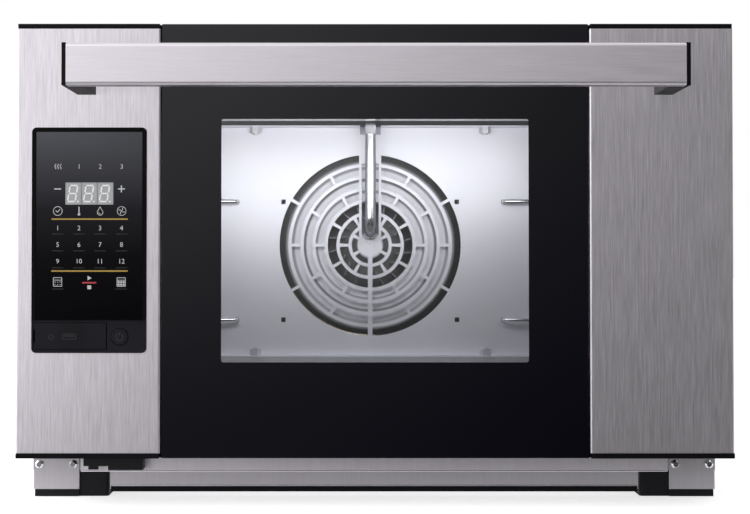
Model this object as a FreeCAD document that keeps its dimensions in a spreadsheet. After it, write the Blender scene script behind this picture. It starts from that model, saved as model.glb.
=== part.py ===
import FreeCAD, Part
import math
import operator
import os
import Sketcher

# Countertop convection oven with a drop-down door that carries the control panel.
# X runs across the front, Y from front to back, Z up; the feet stand on Z = 0.

# Driving dimensions: millimetres, degrees and counts.
SIZES = {
    # casing
    "cabinet_width": 600.0,
    "roof_space": 44.0,
    "wall_space": 60.0,
    "machine_depth": 81.5,
    "casing_gauge": 1.2,
    "casing_flange": 14.0,
    "rear_reach": 18.0,
    "frame_gauge": 1.5,
    "pan_floor": 22.8,
    "pan_wall_top": 47.0,
    "vent_length": 70.0,
    "vent_height": 4.0,
    "vent_pitch": 12.0,
    "vent_count": 9,
    "vent_centre_x": 105.0,
    "vent_drop": 15.0,
    # base front and feet
    "base_setback": 3.0,
    "rail_gauge": 1.2,
    "rail_step": 3.0,
    "rail_low": 5.9,
    "base_gap": 1.0,
    "trim_gauge": 1.2,
    "trim_low": 3.8,
    "trim_grip": 2.4,
    "foot_width": 66.0,
    "foot_depth": 60.0,
    "foot_corner": 3.0,
    "toe_height": 6.0,
    "bracket_width": 40.5,
    "bracket_gauge": 1.5,
    "bracket_low": 6.3,
    "bracket_return": 40.0,
    "screw_spacing": 29.6,
    "screw_height": 28.2,
    "screw_head_radius": 3.6,
    "screw_head_depth": 2.4,
    "screw_bevel": 1.4,
    "guide_low": 24.8,
    "guide_inset": 98.0,
    "guide_block": 30.0,
    "guide_tray": 22.0,
    "guide_reach": 13.0,
    "guide_tongue": 8.5,
    "guide_step": 3.0,
    # cooking chamber
    "cavity_floor": 99.0,
    "cavity_depth": 355.0,
    "cavity_corner": 5.0,
    "liner_gauge": 1.0,
    "liner_lip": 10.0,
    "insulation": 27.0,
    "gasket_width": 14.0,
    "gasket_margin": 4.0,
    "gasket_corner": 16.0,
    "gasket_round": 2.0,
    "seal_play": 0.3,
    # air baffle and its ring grille
    "baffle_inset": 25.0,
    "baffle_gauge": 1.2,
    "baffle_flange": 18.0,
    "grille_radius": 103.3,
    "grille_pitch": 13.7,
    "grille_slot": 10.0,
    "grille_rings": 7,
    "grille_hub": 14.0,
    "bridge_width": 3.4,
    "bridge_count": 6,
    "grille_bar": 5.2,
    "hook_slot": 5.2,
    "hook_x": 98.9,
    "stud_x": 130.0,
    "stud_setback": 10.0,
    "stud_radius": 3.0,
    "stud_tail": 2.0,
    "nut_flats": 11.0,
    "nut_height": 7.0,
    # fan, motor and heating element
    "fan_chamber": 58.0,
    "fan_setback": 8.2,
    "fan_width": 38.0,
    "fan_radius": 97.0,
    "fan_eye": 50.0,
    "fan_plate": 1.5,
    "fan_hub_radius": 16.0,
    "fan_hub_length": 22.0,
    "blade_count": 18,
    "blade_inner": 30.0,
    "blade_curve": 62.0,
    "blade_gauge": 1.4,
    "shaft_radius": 6.0,
    "shaft_thread": 4.0,
    "shaft_play": 0.05,
    "shaft_hole": 14.0,
    "hub_nut_flats": 17.0,
    "hub_nut_height": 8.0,
    "mount_size": 130.0,
    "mount_gauge": 2.0,
    "mount_spacing": 104.0,
    "post_radius": 5.0,
    "motor_radius": 46.0,
    "motor_length": 56.0,
    "motor_bell": 12.0,
    "motor_bell_radius": 34.0,
    "motor_bell_round": 4.0,
    "cooler_radius": 40.0,
    "cooler_hub": 11.0,
    "cooler_width": 9.0,
    "cooler_gap": 2.0,
    "cooler_blades": 7,
    "coil_radius": 117.0,
    "coil_end_radius": 105.4,
    "coil_wire": 4.2,
    "coil_pitch": 12.5,
    "coil_turns": 3,
    "coil_bend": 12.0,
    "coil_tail": 20.5,
    "coil_floor_gap": 4.8,
    "coil_ceiling_gap": 13.8,
    # water system
    "tube_radius": 6.0,
    "tube_wall": 1.0,
    "tube_setback": 34.0,
    "tube_mouth_rise": 15.0,
    "tube_bend": 15.0,
    "tube_through": 4.0,
    "tube_rise": 15.0,
    "notch_half": 9.7,
    "notch_bar": 2.9,
    "notch_round": 8.7,
    "tube_nut_flats": 20.0,
    "tube_nut_height": 12.0,
    "line_radius": 4.0,
    "line_bend": 14.0,
    "line_drop": 7.3,
    "valve_setback": 40.3,
    "valve_inset": 100.0,
    "valve_height": 95.0,
    "valve_body": 30.0,
    "valve_rise": 23.0,
    "valve_corner": 5.0,
    "outlet_lip": 2.0,
    "outlet_taper": 5.0,
    "inlet_radius": 13.2,
    "inlet_bore": 9.0,
    "inlet_collar": 1.0,
    "inlet_nut": 17.0,
    # tray racks
    "rack_post": 3.0,
    "rack_wire": 2.5,
    "rack_reach": 19.5,
    "rack_front": 42.0,
    "rack_rear": 40.0,
    "rack_bend": 8.0,
    "rack_levels": 3,
    "rack_first": 33.0,
    "rack_pitch": 75.0,
    "rack_headroom": 6.0,
    "stay_rise": 8.0,
    "stay_drop": 7.6,
    "stay_end": 152.0,
    "stay_setback": 9.0,
    "stay_play": 0.4,
    # exhaust flue
    "flue_x": 150.0,
    "flue_radius": 20.0,
    "flue_wall": 1.5,
    "flue_rise": 23.0,
    "flue_flange": 30.0,
    "fit_play": 0.5,
    # electrics
    "board_gauge": 1.6,
    "board_standoff": 7.0,
    "board_depth": 190.0,
    "board_height": 170.0,
    "board_low": 130.0,
    "board_setback": 227.5,
    "relay_count": 3,
    "relay_length": 30.0,
    "relay_height": 28.0,
    "relay_rise": 56.0,
    "part_height": 15.0,
    "transformer_size": 56.0,
    "transformer_drop": 57.0,
    "terminal_width": 80.0,
    "terminal_depth": 26.0,
    "terminal_height": 24.0,
    "terminal_step": 12.0,
    "terminal_ledge": 8.7,
    "gland_inset": 100.0,
    "gland_height": 75.0,
    "gland_thread": 10.0,
    "gland_flats": 24.0,
    "gland_bore": 6.0,
    "gland_reach": 15.0,
    "gland_inside": 9.0,
    "gland_nut": 7.5,
    "gland_round": 3.0,
    # door
    "door_clearance": 42.2,
    "door_overlap": 2.0,
    "door_depth": 56.0,
    "door_gap": 6.0,
    "door_rail_height": 4.2,
    "rail_proud": 0.6,
    "skin_gauge": 1.2,
    "skin_lip": 9.2,
    "skin_fold": 9.0,
    "skin_round": 1.6,
    "glass_gauge": 4.0,
    "glass_recess": 2.0,
    "glass_play": 1.0,
    "mask_bond": 0.1,
    "mask_gauge": 0.6,
    "window_width": 258.4,
    "window_height": 204.5,
    "window_corner": 2.0,
    "inner_margin": 13.0,
    "inner_corner": 8.0,
    "inner_lap": 10.0,
    "panel_gauge": 1.2,
    "panel_inset": 0.5,
    "clip_gauge": 1.2,
    "clip_width": 16.0,
    "clip_foot": 11.0,
    "clip_lip": 6.0,
    "clip_x": 90.0,
    "clip_play": 0.5,
    "lamp_inset": 1.5,
    "lamp_width": 10.0,
    "lamp_depth": 8.0,
    "lamp_lens": 2.0,
    # handle
    "handle_reach": 65.0,
    "handle_inset": 50.8,
    "handle_height": 33.8,
    "handle_depth": 14.0,
    "handle_drop": 26.0,
    "handle_round": 3.0,
    "end_cap": 3.5,
    "end_bracket": 15.3,
    "end_round": 0.8,
    # control panel
    "control_inset": 12.8,
    "control_low": 87.9,
    "control_margin": 11.4,
    "control_corner": 4.0,
    "bezel_proud": 0.8,
    "bezel_lap": 1.3,
    "bezel_depth": 12.0,
    "touch_inset": 3.7,
    "touch_height": 157.0,
    "touch_gauge": 2.8,
    "touch_seat": 3.0,
    "touch_ledge": 5.0,
    "panel_play": 0.2,
    "display_width": 40.0,
    "display_height": 18.4,
    "display_rise": 42.4,
    "display_recess": 0.4,
    "flap_width": 60.0,
    "flap_height": 22.0,
    "flap_gauge": 2.2,
    "flap_gap": 0.4,
    "flap_inset": 1.8,
    "flap_low": 3.0,
    "flap_margin": 2.9,
    "flap_seat": 3.4,
    "flap_notch": 1.4,
    "flap_notch_height": 11.0,
    "socket_rise": 13.4,
    "socket_inset": 25.0,
    "socket_width": 14.6,
    "socket_height": 7.2,
    "socket_slot_width": 12.6,
    "socket_slot_height": 4.8,
    "socket_slot_depth": 8.0,
    "button_gap": 12.0,
    "button_margin": 22.1,
    "button_rise": 13.4,
    "button_radius": 7.0,
    "button_play": 0.35,
    "button_proud": 0.5,
    "button_collar": 9.0,
    "button_collar_gauge": 2.0,
    "button_shoulder": 4.0,
    "button_travel": 1.5,
    "button_rest_gap": 0.2,
    "switch_radius": 3.0,
    # hinges
    "hinge_setback": 30.0,
    "hinge_rise": 12.8,
    "hinge_inset": 15.0,
    "arm_gauge": 6.0,
    "arm_half": 11.0,
    "arm_nose": 9.0,
    "arm_flange": 24.0,
    "arm_flange_height": 40.0,
    "arm_flange_gauge": 3.0,
    "arm_play": 1.0,
    "ear_gauge": 2.5,
    "ear_gap": 0.5,
    "ear_reach": 10.0,
    "ear_web": 5.0,
    "ear_height": 19.5,
    "pin_radius": 4.0,
    "pin_play": 0.05,
    "pin_inboard": 26.0,
    "pin_outboard": 8.0,
    "spring_radius": 7.2,
    "spring_wire": 1.0,
    "spring_pitch": 3.2,
    "spring_turns": 4.5,
    "spring_gap": 1.8,
    "spring_leg": 20.0,
    "spring_hook": 15.0,
    "spring_hook_play": 0.3,
    "spring_bend": 3.0,
}

doc = FreeCAD.newDocument("ConvectionOven")
sheet = doc.addObject("Spreadsheet::Sheet", "Sizes")
for row, (alias, amount) in enumerate(SIZES.items(), start=1):
    sheet.set(f"A{row}", alias)
    sheet.set(f"B{row}", str(amount))
    sheet.setAlias(f"B{row}", alias)
doc.recompute()

FULL_TURN = 360
QUARTER_TURN = 90
# a rounding that leaves a short flat between the two arcs of an edge
FULL_ROUND = 0.98
# sides of the wire in a coil, points measured on each of its arcs, and arcs to the next turn
WIRE_SIDES = 6
ARC_POINTS = 7
NEXT_TURN_POINTS = 24
VOLUME_MATCH = 0.02
EDGE_MATCH = 1e-4

OPERATIONS = {"+": operator.add, "-": operator.sub, "*": operator.mul, "/": operator.truediv}
AXES = {"X": FreeCAD.Vector(1, 0, 0), "Y": FreeCAD.Vector(0, 1, 0), "Z": FreeCAD.Vector(0, 0, 1)}
nodes = []


class Size:
    """An amount together with the formula that ties it to the sheet."""

    def __init__(self, formula, value):
        self.formula = formula
        self.value = value

    def __float__(self):
        return float(self.value)

    def __neg__(self):
        return Size(f"-({self.formula})", -self.value)

    def __add__(self, other):
        return joined(self, "+", other)

    def __radd__(self, other):
        return joined(other, "+", self)

    def __sub__(self, other):
        return joined(self, "-", other)

    def __rsub__(self, other):
        return joined(other, "-", self)

    def __mul__(self, other):
        return joined(self, "*", other)

    def __rmul__(self, other):
        return joined(other, "*", self)

    def __truediv__(self, other):
        return joined(self, "/", other)

    def __rtruediv__(self, other):
        return joined(other, "/", self)


def as_size(amount):
    return amount if isinstance(amount, Size) else Size(f"{amount:g}", amount)


def joined(left, sign, right):
    left = as_size(left)
    right = as_size(right)
    return Size(f"({left.formula} {sign} {right.formula})", OPERATIONS[sign](left.value, right.value))


class SheetSizes:
    """Reads the sheet's cells by alias."""

    def __getattr__(self, alias):
        return Size(f"Sizes.{alias}", float(getattr(sheet, alias)))


size = SheetSizes()
middle_line = Size("0", 0)


def bind(target, prop, amount):
    target.setExpression(prop, as_size(amount).formula)


def count(amount):
    return int(round(float(amount)))


def vector(x, y, z):
    return FreeCAD.Vector(float(x), float(y), float(z))


def node(target, label):
    """Registers a finished sub-part under the name of its file."""
    target.Label = label
    nodes.append(target)
    return target


# Sketching: every corner, centre and radius is pinned to the sheet.

def sketch_in(body, plane, level, name, shift=(0, 0)):
    """A sketch parallel to an origin plane, at a level along the axis square to it."""
    sketch = body.newObject("Sketcher::SketchObject", name)
    role = plane + "_Plane"
    origin_plane = next(f for f in body.Origin.OriginFeatures if f.Role == role)
    sketch.AttachmentSupport = [(origin_plane, "")]
    sketch.MapMode = "FlatFace"
    bind(sketch, "AttachmentOffset.Base.x", shift[0])
    bind(sketch, "AttachmentOffset.Base.y", shift[1])
    bind(sketch, "AttachmentOffset.Base.z", -as_size(level) if plane == "XZ" else level)
    return sketch


def constrain(sketch, amount, kind, *where):
    index = sketch.addConstraint(Sketcher.Constraint(kind, *where, float(amount)))
    bind(sketch, f"Constraints[{index}]", amount)


def pin_point(sketch, geometry, position, x, y):
    constrain(sketch, x, "DistanceX", -1, 1, geometry, position)
    constrain(sketch, y, "DistanceY", -1, 1, geometry, position)


def add_circle(sketch, x, y, radius):
    circle = Part.Circle(vector(x, y, 0), AXES["Z"], float(radius))
    index = sketch.addGeometry(circle)
    pin_point(sketch, index, 3, x, y)
    constrain(sketch, radius, "Radius", index)


def add_outline(sketch, corners):
    """A closed outline through corners (x, y), or (x, y, radius) for a rounded corner."""
    total = len(corners)
    spots = [vector(c[0], c[1], 0) for c in corners]
    entries, exits, arcs = [], [], {}
    for i, corner in enumerate(corners):
        if len(corner) == 2:
            entries.append(spots[i])
            exits.append(spots[i])
            continue
        back = (spots[i - 1] - spots[i]).normalize()
        ahead = (spots[(i + 1) % total] - spots[i]).normalize()
        half = back.getAngle(ahead) / 2
        radius = float(corner[2])
        entries.append(spots[i] + back * (radius / math.tan(half)))
        exits.append(spots[i] + ahead * (radius / math.tan(half)))
        centre = spots[i] + (back + ahead).normalize() * (radius / math.sin(half))
        turns_left = (spots[i] - spots[i - 1]).cross(ahead).z > 0
        arcs[i] = (centre, radius, turns_left)
    lines = [
        sketch.addGeometry(Part.LineSegment(exits[i], entries[(i + 1) % total])) for i in range(total)
    ]
    for i, corner in enumerate(corners):
        before, after = lines[i - 1], lines[i]
        if i not in arcs:
            sketch.addConstraint(Sketcher.Constraint("Coincident", before, 2, after, 1))
            pin_point(sketch, after, 1, corner[0], corner[1])
            continue
        centre, radius, turns_left = arcs[i]
        first, last = (entries[i], exits[i]) if turns_left else (exits[i], entries[i])
        start_angle = math.atan2(first.y - centre.y, first.x - centre.x)
        end_angle = math.atan2(last.y - centre.y, last.x - centre.x)
        circle = Part.Circle(centre, AXES["Z"], radius)
        arc = sketch.addGeometry(Part.ArcOfCircle(circle, start_angle, end_angle))
        enter, leave = (1, 2) if turns_left else (2, 1)
        mark = sketch.addGeometry(Part.Point(spots[i]), True)
        pin_point(sketch, mark, 1, corner[0], corner[1])
        sketch.addConstraint(Sketcher.Constraint("PointOnObject", mark, 1, before))
        sketch.addConstraint(Sketcher.Constraint("PointOnObject", mark, 1, after))
        sketch.addConstraint(Sketcher.Constraint("Tangent", before, 2, arc, enter))
        sketch.addConstraint(Sketcher.Constraint("Tangent", arc, leave, after, 1))
        constrain(sketch, corner[2], "Radius", arc)


def rectangle(x, y, radius=None):
    """The corners of an upright rectangle between (low, high) pairs."""
    corners = [(x[0], y[0]), (x[1], y[0]), (x[1], y[1]), (x[0], y[1])]
    return corners if radius is None else [(*corner, radius) for corner in corners]


def centred(middle, width):
    return (middle - width / 2, middle + width / 2)


def draw(sketch, loops):
    for loop in loops:
        if loop[0] == "circle":
            add_circle(sketch, *loop[1:])
        else:
            add_outline(sketch, loop)


# Features of a body.

def new_body(name):
    return doc.addObject("PartDesign::Body", name)


def pad(body, plane, level, length, loops, name="Pad"):
    """Adds material from a level along the positive axis square to the plane."""
    sketch = sketch_in(body, plane, level, name + "Sketch")
    draw(sketch, loops)
    feature = body.newObject("PartDesign::Pad", name)
    feature.Profile = sketch
    feature.Reversed = plane == "XZ"
    bind(feature, "Length", length)
    return feature


def must_cut(body, before, name):
    doc.recompute()
    if body.Shape.Volume >= before:
        raise RuntimeError(f"{body.Label} {name} removed nothing")


def pocket(body, plane, level, length, loops, name="Pocket"):
    """Removes material from a level along the positive axis square to the plane."""
    doc.recompute()
    before = body.Shape.Volume
    sketch = sketch_in(body, plane, level, name + "Sketch")
    draw(sketch, loops)
    feature = body.newObject("PartDesign::Pocket", name)
    feature.Profile = sketch
    feature.Reversed = plane != "XZ"
    bind(feature, "Length", length)
    must_cut(body, before, name)
    return feature


def axis_sketch(body, axis, centre, name):
    """A sketch whose first direction is the axis and second is the radius, and its axis name."""
    x, y, z = centre
    if axis == "Y":
        return sketch_in(body, "YZ", x, name, (y, z)), "H_Axis"
    if axis == "X":
        return sketch_in(body, "XZ", y, name, (x, z)), "H_Axis"
    return sketch_in(body, "XZ", y, name, (x, z)), "V_Axis"


def turn(body, axis, centre, profile, name="Turn"):
    """Revolves a profile of (along, radius) corners about an axis through the centre."""
    sketch, line = axis_sketch(body, axis, centre, name + "Sketch")
    corners = [(c[1], c[0]) for c in profile] if axis == "Z" else profile
    draw(sketch, [corners])
    feature = body.newObject("PartDesign::Revolution", name)
    feature.Profile = sketch
    feature.ReferenceAxis = (sketch, [line])
    feature.Angle = FULL_TURN
    return feature


def polar(body, feature, sketch, line, copies, name="Ring"):
    doc.recompute()
    pattern = body.newObject("PartDesign::PolarPattern", name)
    pattern.Originals = [feature]
    pattern.Axis = (sketch, [line])
    pattern.Angle = FULL_TURN
    bind(pattern, "Occurrences", copies)
    body.Tip = pattern
    return pattern


# Plain solids and what is made of them.

def plate(name, plane, level, length, loops):
    body = new_body(name)
    pad(body, plane, level, length, loops)
    return body


def turned(name, axis, centre, profile):
    body = new_body(name)
    turn(body, axis, centre, profile)
    return body


def block(name, x, y, z):
    """A block between (low, high) pairs on each axis."""
    box = doc.addObject("Part::Box", name)
    for side, axis, (low, high) in (("Length", "x", x), ("Width", "y", y), ("Height", "z", z)):
        bind(box, side, as_size(high) - low)
        bind(box, f"Placement.Base.{axis}", low)
    return box


def rod(name, axis, start, length, radius):
    cylinder = doc.addObject("Part::Cylinder", name)
    cylinder.Placement = FreeCAD.Placement(FreeCAD.Vector(), FreeCAD.Rotation(AXES["Z"], AXES[axis]))
    bind(cylinder, "Radius", radius)
    bind(cylinder, "Height", length)
    for letter, amount in zip("xyz", start):
        bind(cylinder, f"Placement.Base.{letter}", amount)
    return cylinder


def hexagon(name, axis, start, length, flats):
    prism = doc.addObject("Part::Prism", name)
    prism.Polygon = 6
    prism.Placement = FreeCAD.Placement(FreeCAD.Vector(), FreeCAD.Rotation(AXES["Z"], AXES[axis]))
    bind(prism, "Circumradius", flats / (2 * math.cos(math.pi / 6)))
    bind(prism, "Height", length)
    for letter, amount in zip("xyz", start):
        bind(prism, f"Placement.Base.{letter}", amount)
    return prism


def gathered(name, members):
    group = doc.addObject("Part::Compound", name)
    group.Links = members
    return group


def fused(name, members):
    union = doc.addObject("Part::MultiFuse", name)
    union.Shapes = members
    return union


def cut(name, base, tools):
    result = doc.addObject("Part::Cut", name)
    result.Base = base
    result.Tool = tools[0] if len(tools) == 1 else gathered(name + "_tools", tools)
    return result


def mirrored(name, source):
    """The left-hand twin of a right-hand piece."""
    twin = doc.addObject("Part::Mirroring", name)
    twin.Source = source
    twin.Normal = AXES["X"]
    return twin


def formed(name, shape):
    feature = doc.addObject("Part::Feature", name)
    feature.Shape = shape
    feature.Placement = FreeCAD.Placement()
    return feature


# Bent wires and tubes.

def corner_arc(before, corner, after, setback):
    """The arc that rounds a corner, and the points where it starts and ends."""
    back = (before - corner).normalize()
    ahead = (after - corner).normalize()
    half = back.getAngle(ahead) / 2
    start = corner + back * setback
    end = corner + ahead * setback
    reach = setback / math.cos(half) - setback * math.tan(half)
    middle = corner + (back + ahead).normalize() * reach
    return Part.Arc(start, middle, end), start, end


def bent_path(points, bend):
    """Straight runs through points, joined by tangent arcs of one bend radius."""
    edges = []
    here = points[0]
    for before, corner, after in zip(points, points[1:], points[2:]):
        half = (before - corner).getAngle(after - corner) / 2
        arc, start, end = corner_arc(before, corner, after, bend / math.tan(half))
        edges.append(Part.LineSegment(here, start).toShape())
        edges.append(arc.toShape())
        here = end
    edges.append(Part.LineSegment(here, points[-1]).toShape())
    return edges


def biarc(start, start_way, end, end_way):
    """Two tangent arcs between points with given directions."""
    span = end - start
    both = start_way + end_way
    along = span.dot(both)
    spread = 2 * (1 - start_way.dot(end_way))
    setback = (math.sqrt(along ** 2 + spread * span.dot(span)) - along) / spread
    first = start + start_way * setback
    last = end - end_way * setback
    middle = (first + last) / 2
    arcs = []
    for a, corner, b in ((start, first, middle), (middle, last, end)):
        arcs.append(corner_arc(a, corner, b, setback)[0].toShape())
    return arcs


def swept(edges, section):
    """A bar with one section along a smooth chain of edges."""
    path = Part.Wire(edges)
    bar = path.makePipeShell([section], True, False)
    expected = Part.Face(section).Area * path.Length
    if abs(bar.Volume - expected) > VOLUME_MATCH * expected:
        raise RuntimeError("a swept bar lost its section")
    return bar


def path_start(edges):
    return edges[0].valueAt(edges[0].FirstParameter), edges[0].tangentAt(edges[0].FirstParameter)


def sweep_round(edges, radius):
    start, way = path_start(edges)
    return swept(edges, Part.Wire(Part.Circle(start, way, radius).toShape()))


def sweep_coil(edges, radius):
    """The bar of a wound coil, with a many-sided section to keep its faces few."""
    start, way = path_start(edges)
    circle = Part.Circle(start, way, radius)
    corners = [circle.value(2 * math.pi * i / WIRE_SIDES) for i in range(WIRE_SIDES)]
    return swept(edges, Part.makePolygon(corners + corners[:1]))


def least_gap(edges, radius):
    """Smallest clear distance of a coil from itself, on points along its path."""
    points = []
    for edge in edges:
        points.extend(edge.discretize(Number=ARC_POINTS)[:-1])
    gaps = []
    for i, point in enumerate(points):
        for other in points[i + NEXT_TURN_POINTS:]:
            gaps.append(point.distanceToPoint(other))
    return min(gaps) - 2 * radius


# Levels that several pieces share.

coil_reach = size.coil_radius + size.coil_wire
side = size.cabinet_width / 2
cavity_width = size.cabinet_width - 2 * size.wall_space
cavity_half = cavity_width / 2
cavity_height = 2 * coil_reach + size.coil_floor_gap + size.coil_ceiling_gap
cavity_top = size.cavity_floor + cavity_height
cabinet_height = cavity_top + size.roof_space
fan_height = size.cavity_floor + size.coil_floor_gap + coil_reach
chamber_depth = size.cavity_depth + size.fan_chamber + size.liner_gauge + size.insulation
body_depth = size.frame_gauge + chamber_depth + size.machine_depth
overall_depth = size.handle_reach + size.door_depth + size.door_gap + body_depth + size.rear_reach

handle_front = -overall_depth / 2
door_front = handle_front + size.handle_reach
door_back = door_front + size.door_depth
body_front = door_back + size.door_gap
body_back = body_front + body_depth
door_low = size.door_clearance
door_high = cabinet_height + size.door_overlap
door_side = side
door_middle = (door_low + door_high) / 2
flap_reach = size.touch_inset - size.flap_inset + size.flap_width
control_width = flap_reach + size.button_gap + size.button_margin
skin_inner = door_side - size.control_inset - control_width - size.control_margin
skin_low = door_low + size.door_rail_height
skin_high = door_high - size.door_rail_height
glass_front = door_front + size.glass_recess
mask_front = glass_front + size.glass_gauge + size.mask_bond
mask_back = mask_front + size.mask_gauge
panel_front = door_back - size.panel_gauge

frame_back = body_front + size.frame_gauge
cover_low = cabinet_height - size.casing_gauge
base_front = body_front + size.base_setback
rear_inner = body_back - size.casing_gauge
baffle_front = frame_back + size.cavity_depth
liner_back = baffle_front + size.fan_chamber
liner_outer_back = liner_back + size.liner_gauge
blanket_back = liner_outer_back + size.insulation
liner_top = cavity_top + size.liner_gauge
liner_bottom = size.cavity_floor - size.liner_gauge
liner_side = cavity_half + size.liner_gauge
blanket_top = liner_top + size.insulation
blanket_bottom = liner_bottom - size.insulation
blanket_side = liner_side + size.insulation

fan_front = baffle_front + size.fan_setback
fan_back = fan_front + size.fan_width
mount_front = blanket_back
motor_front = mount_front + size.mount_gauge
motor_back = motor_front + size.motor_length
cooler_front = motor_back + size.cooler_gap
flue_y = baffle_front + size.fan_chamber / 2
tube_y = baffle_front - size.tube_setback
tube_top = liner_top + size.tube_rise
line_level = cover_low - size.line_drop
line_back = rear_inner - size.valve_setback
valve_x = side - size.valve_inset
gland_x = size.gland_inset - side
inlet_collar = size.inlet_radius + size.inlet_collar
rail_first = size.cavity_floor + size.rack_first
rail_last = rail_first + size.rack_pitch * (size.rack_levels - 1)
stay_levels = (rail_first + size.stay_rise, rail_last - size.stay_drop)

hinge_y = door_front + size.hinge_setback
hinge_z = door_low + size.hinge_rise
hinge_x = side - size.hinge_inset
arm_low_x = hinge_x - size.arm_gauge / 2
arm_high_x = hinge_x + size.arm_gauge / 2
arm_slot = (arm_low_x - size.arm_play, arm_high_x + size.arm_play)

control_left = -door_side + size.control_inset
control_right = control_left + control_width
control_base = door_low + size.control_low
flap_base = control_base + size.flap_low
flap_top = flap_base + size.flap_height
touch_low = flap_top + size.flap_margin
touch_top = touch_low + size.touch_height
control_top = touch_top + size.touch_inset
bezel_front = door_front - size.bezel_proud
bezel_back = door_front + size.bezel_depth
touch_left = control_left + size.touch_inset
touch_right = control_right - size.touch_inset
touch_back = bezel_front + size.touch_seat
display_x = (control_left + control_right) / 2
display_z = touch_top - size.display_rise - size.display_height / 2
button_z = control_base + size.button_rise
flap_right = control_left + flap_reach
flap_left = flap_right - size.flap_width
button_x = flap_right + size.button_gap
flap_axis_y = bezel_front + size.flap_gauge / 2
socket_x = control_left + size.socket_inset
socket_z = control_base + size.socket_rise
flap_seat_back = bezel_front + size.flap_seat


# Base and feet.

def make_base():
    pan = plate("BasePan", "XY", size.pan_floor, size.pan_wall_top - size.pan_floor,
                [rectangle((-side, side), (base_front, body_back))])
    gauge = size.casing_gauge
    pocket(pan, "XY", size.pan_floor + gauge, size.pan_wall_top - size.pan_floor - gauge,
           [rectangle((gauge - side, side - gauge), (base_front + gauge, body_back - gauge))])
    node(pan, "base_pan")

    half = side - size.bracket_width
    front = base_front - size.rail_gauge
    top = size.pan_wall_top - size.base_gap
    inset = front + size.rail_step
    step = size.pan_floor - size.rail_gauge
    profile = [
        (front, top), (front, step), (inset, step), (inset, size.rail_low),
        (inset + size.rail_gauge, size.rail_low), (inset + size.rail_gauge, size.pan_floor),
        (base_front, size.pan_floor), (base_front, top),
    ]
    rail = plate("BaseRail", "YZ", size.base_gap - half, 2 * (half - size.base_gap), [profile])
    foot_inner = side - size.foot_width - size.base_gap
    clear = size.foot_width
    pocket(rail, "XZ", inset, size.rail_step,
           [rectangle((foot_inner, foot_inner + clear), (size.rail_low - size.base_gap, step)),
            rectangle((-foot_inner - clear, -foot_inner), (size.rail_low - size.base_gap, step))])
    node(rail, "base_front_rail")

    grip = size.rail_low + size.trim_grip
    outer = (inset - size.trim_gauge, inset + size.rail_gauge + size.trim_gauge)
    trim_profile = [
        (outer[0], size.trim_low), (outer[1], size.trim_low), (outer[1], grip),
        (inset + size.rail_gauge, grip), (inset + size.rail_gauge, size.rail_low),
        (inset, size.rail_low), (inset, grip), (outer[0], grip),
    ]
    trim_half = foot_inner - size.base_gap
    node(plate("RailTrim", "YZ", -trim_half, 2 * trim_half, [trim_profile]), "rail_edge_trim")


def make_foot_bracket():
    """Right-hand bracket: a front plate on the pan, folded round the foot's outer side."""
    gauge = size.bracket_gauge
    front = base_front - gauge
    inner = side - size.bracket_width
    bracket = plate("FootBracketRight", "XY", size.bracket_low, size.pan_floor - size.bracket_low, [[
        (inner, front), (side, front, gauge), (side, front + size.bracket_return),
        (side - gauge, front + size.bracket_return), (side - gauge, base_front), (inner, base_front),
    ]])
    pad(bracket, "XY", size.pan_floor, size.pan_wall_top - size.base_gap - size.pan_floor,
        [rectangle((inner, side), (front, base_front))], "FrontPlate")
    node(bracket, "foot_bracket_right")
    node(mirrored("FootBracketLeft", bracket), "foot_bracket_left")


def make_feet():
    inner = side - size.foot_width
    outer = side - size.bracket_gauge
    toe_inner = side - size.bracket_width
    corner = size.foot_corner
    front = new_body("FrontFootRight")
    pad(front, "XY", 0, size.toe_height, [[
        (inner, base_front, corner), (toe_inner, base_front), (toe_inner, base_front - size.bracket_gauge),
        (outer, base_front - size.bracket_gauge), (outer, base_front + size.foot_depth),
        (inner, base_front + size.foot_depth, corner),
    ]], "Toe")
    pad(front, "XY", size.toe_height, size.pan_floor - size.toe_height,
        [[(inner, base_front, corner), (outer, base_front), (outer, base_front + size.foot_depth),
          (inner, base_front + size.foot_depth, corner)]], "Block")
    # the fold of the pan's front rail passes over the foot's front edge
    relief = size.rail_step + size.base_gap
    over = rectangle((inner - corner, toe_inner), (base_front - corner, base_front + relief))
    pocket(front, "XY", size.pan_floor - size.rail_gauge - size.base_gap, size.rail_gauge + size.base_gap,
           [over], "RailRelief")
    rear = plate("RearFootRight", "XY", 0, size.pan_floor,
                 [rectangle((inner, outer), (body_back - size.foot_depth, body_back), corner)])
    members = [front, mirrored("FrontFootLeft", front), rear, mirrored("RearFootLeft", rear)]
    node(gathered("RubberFeet", members), "rubber_feet")


def make_bracket_screws():
    """Bevelled screws that hold the brackets to the pan."""
    middle = side - size.bracket_width / 2
    face = base_front - size.bracket_gauge
    screws = []
    for index, x in enumerate(centred(middle, size.screw_spacing)):
        screw = turned(f"BracketScrew{index}", "Y", (x, face, size.screw_height), [
            (-size.screw_head_depth, 0),
            (0, 0), (0, size.screw_head_radius),
            (size.screw_bevel - size.screw_head_depth, size.screw_head_radius),
            (-size.screw_head_depth, size.screw_head_radius - size.screw_bevel),
        ])
        screws += [screw, mirrored(f"BracketScrewLeft{index}", screw)]
    node(gathered("BracketScrews", screws), "bracket_screws")


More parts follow.
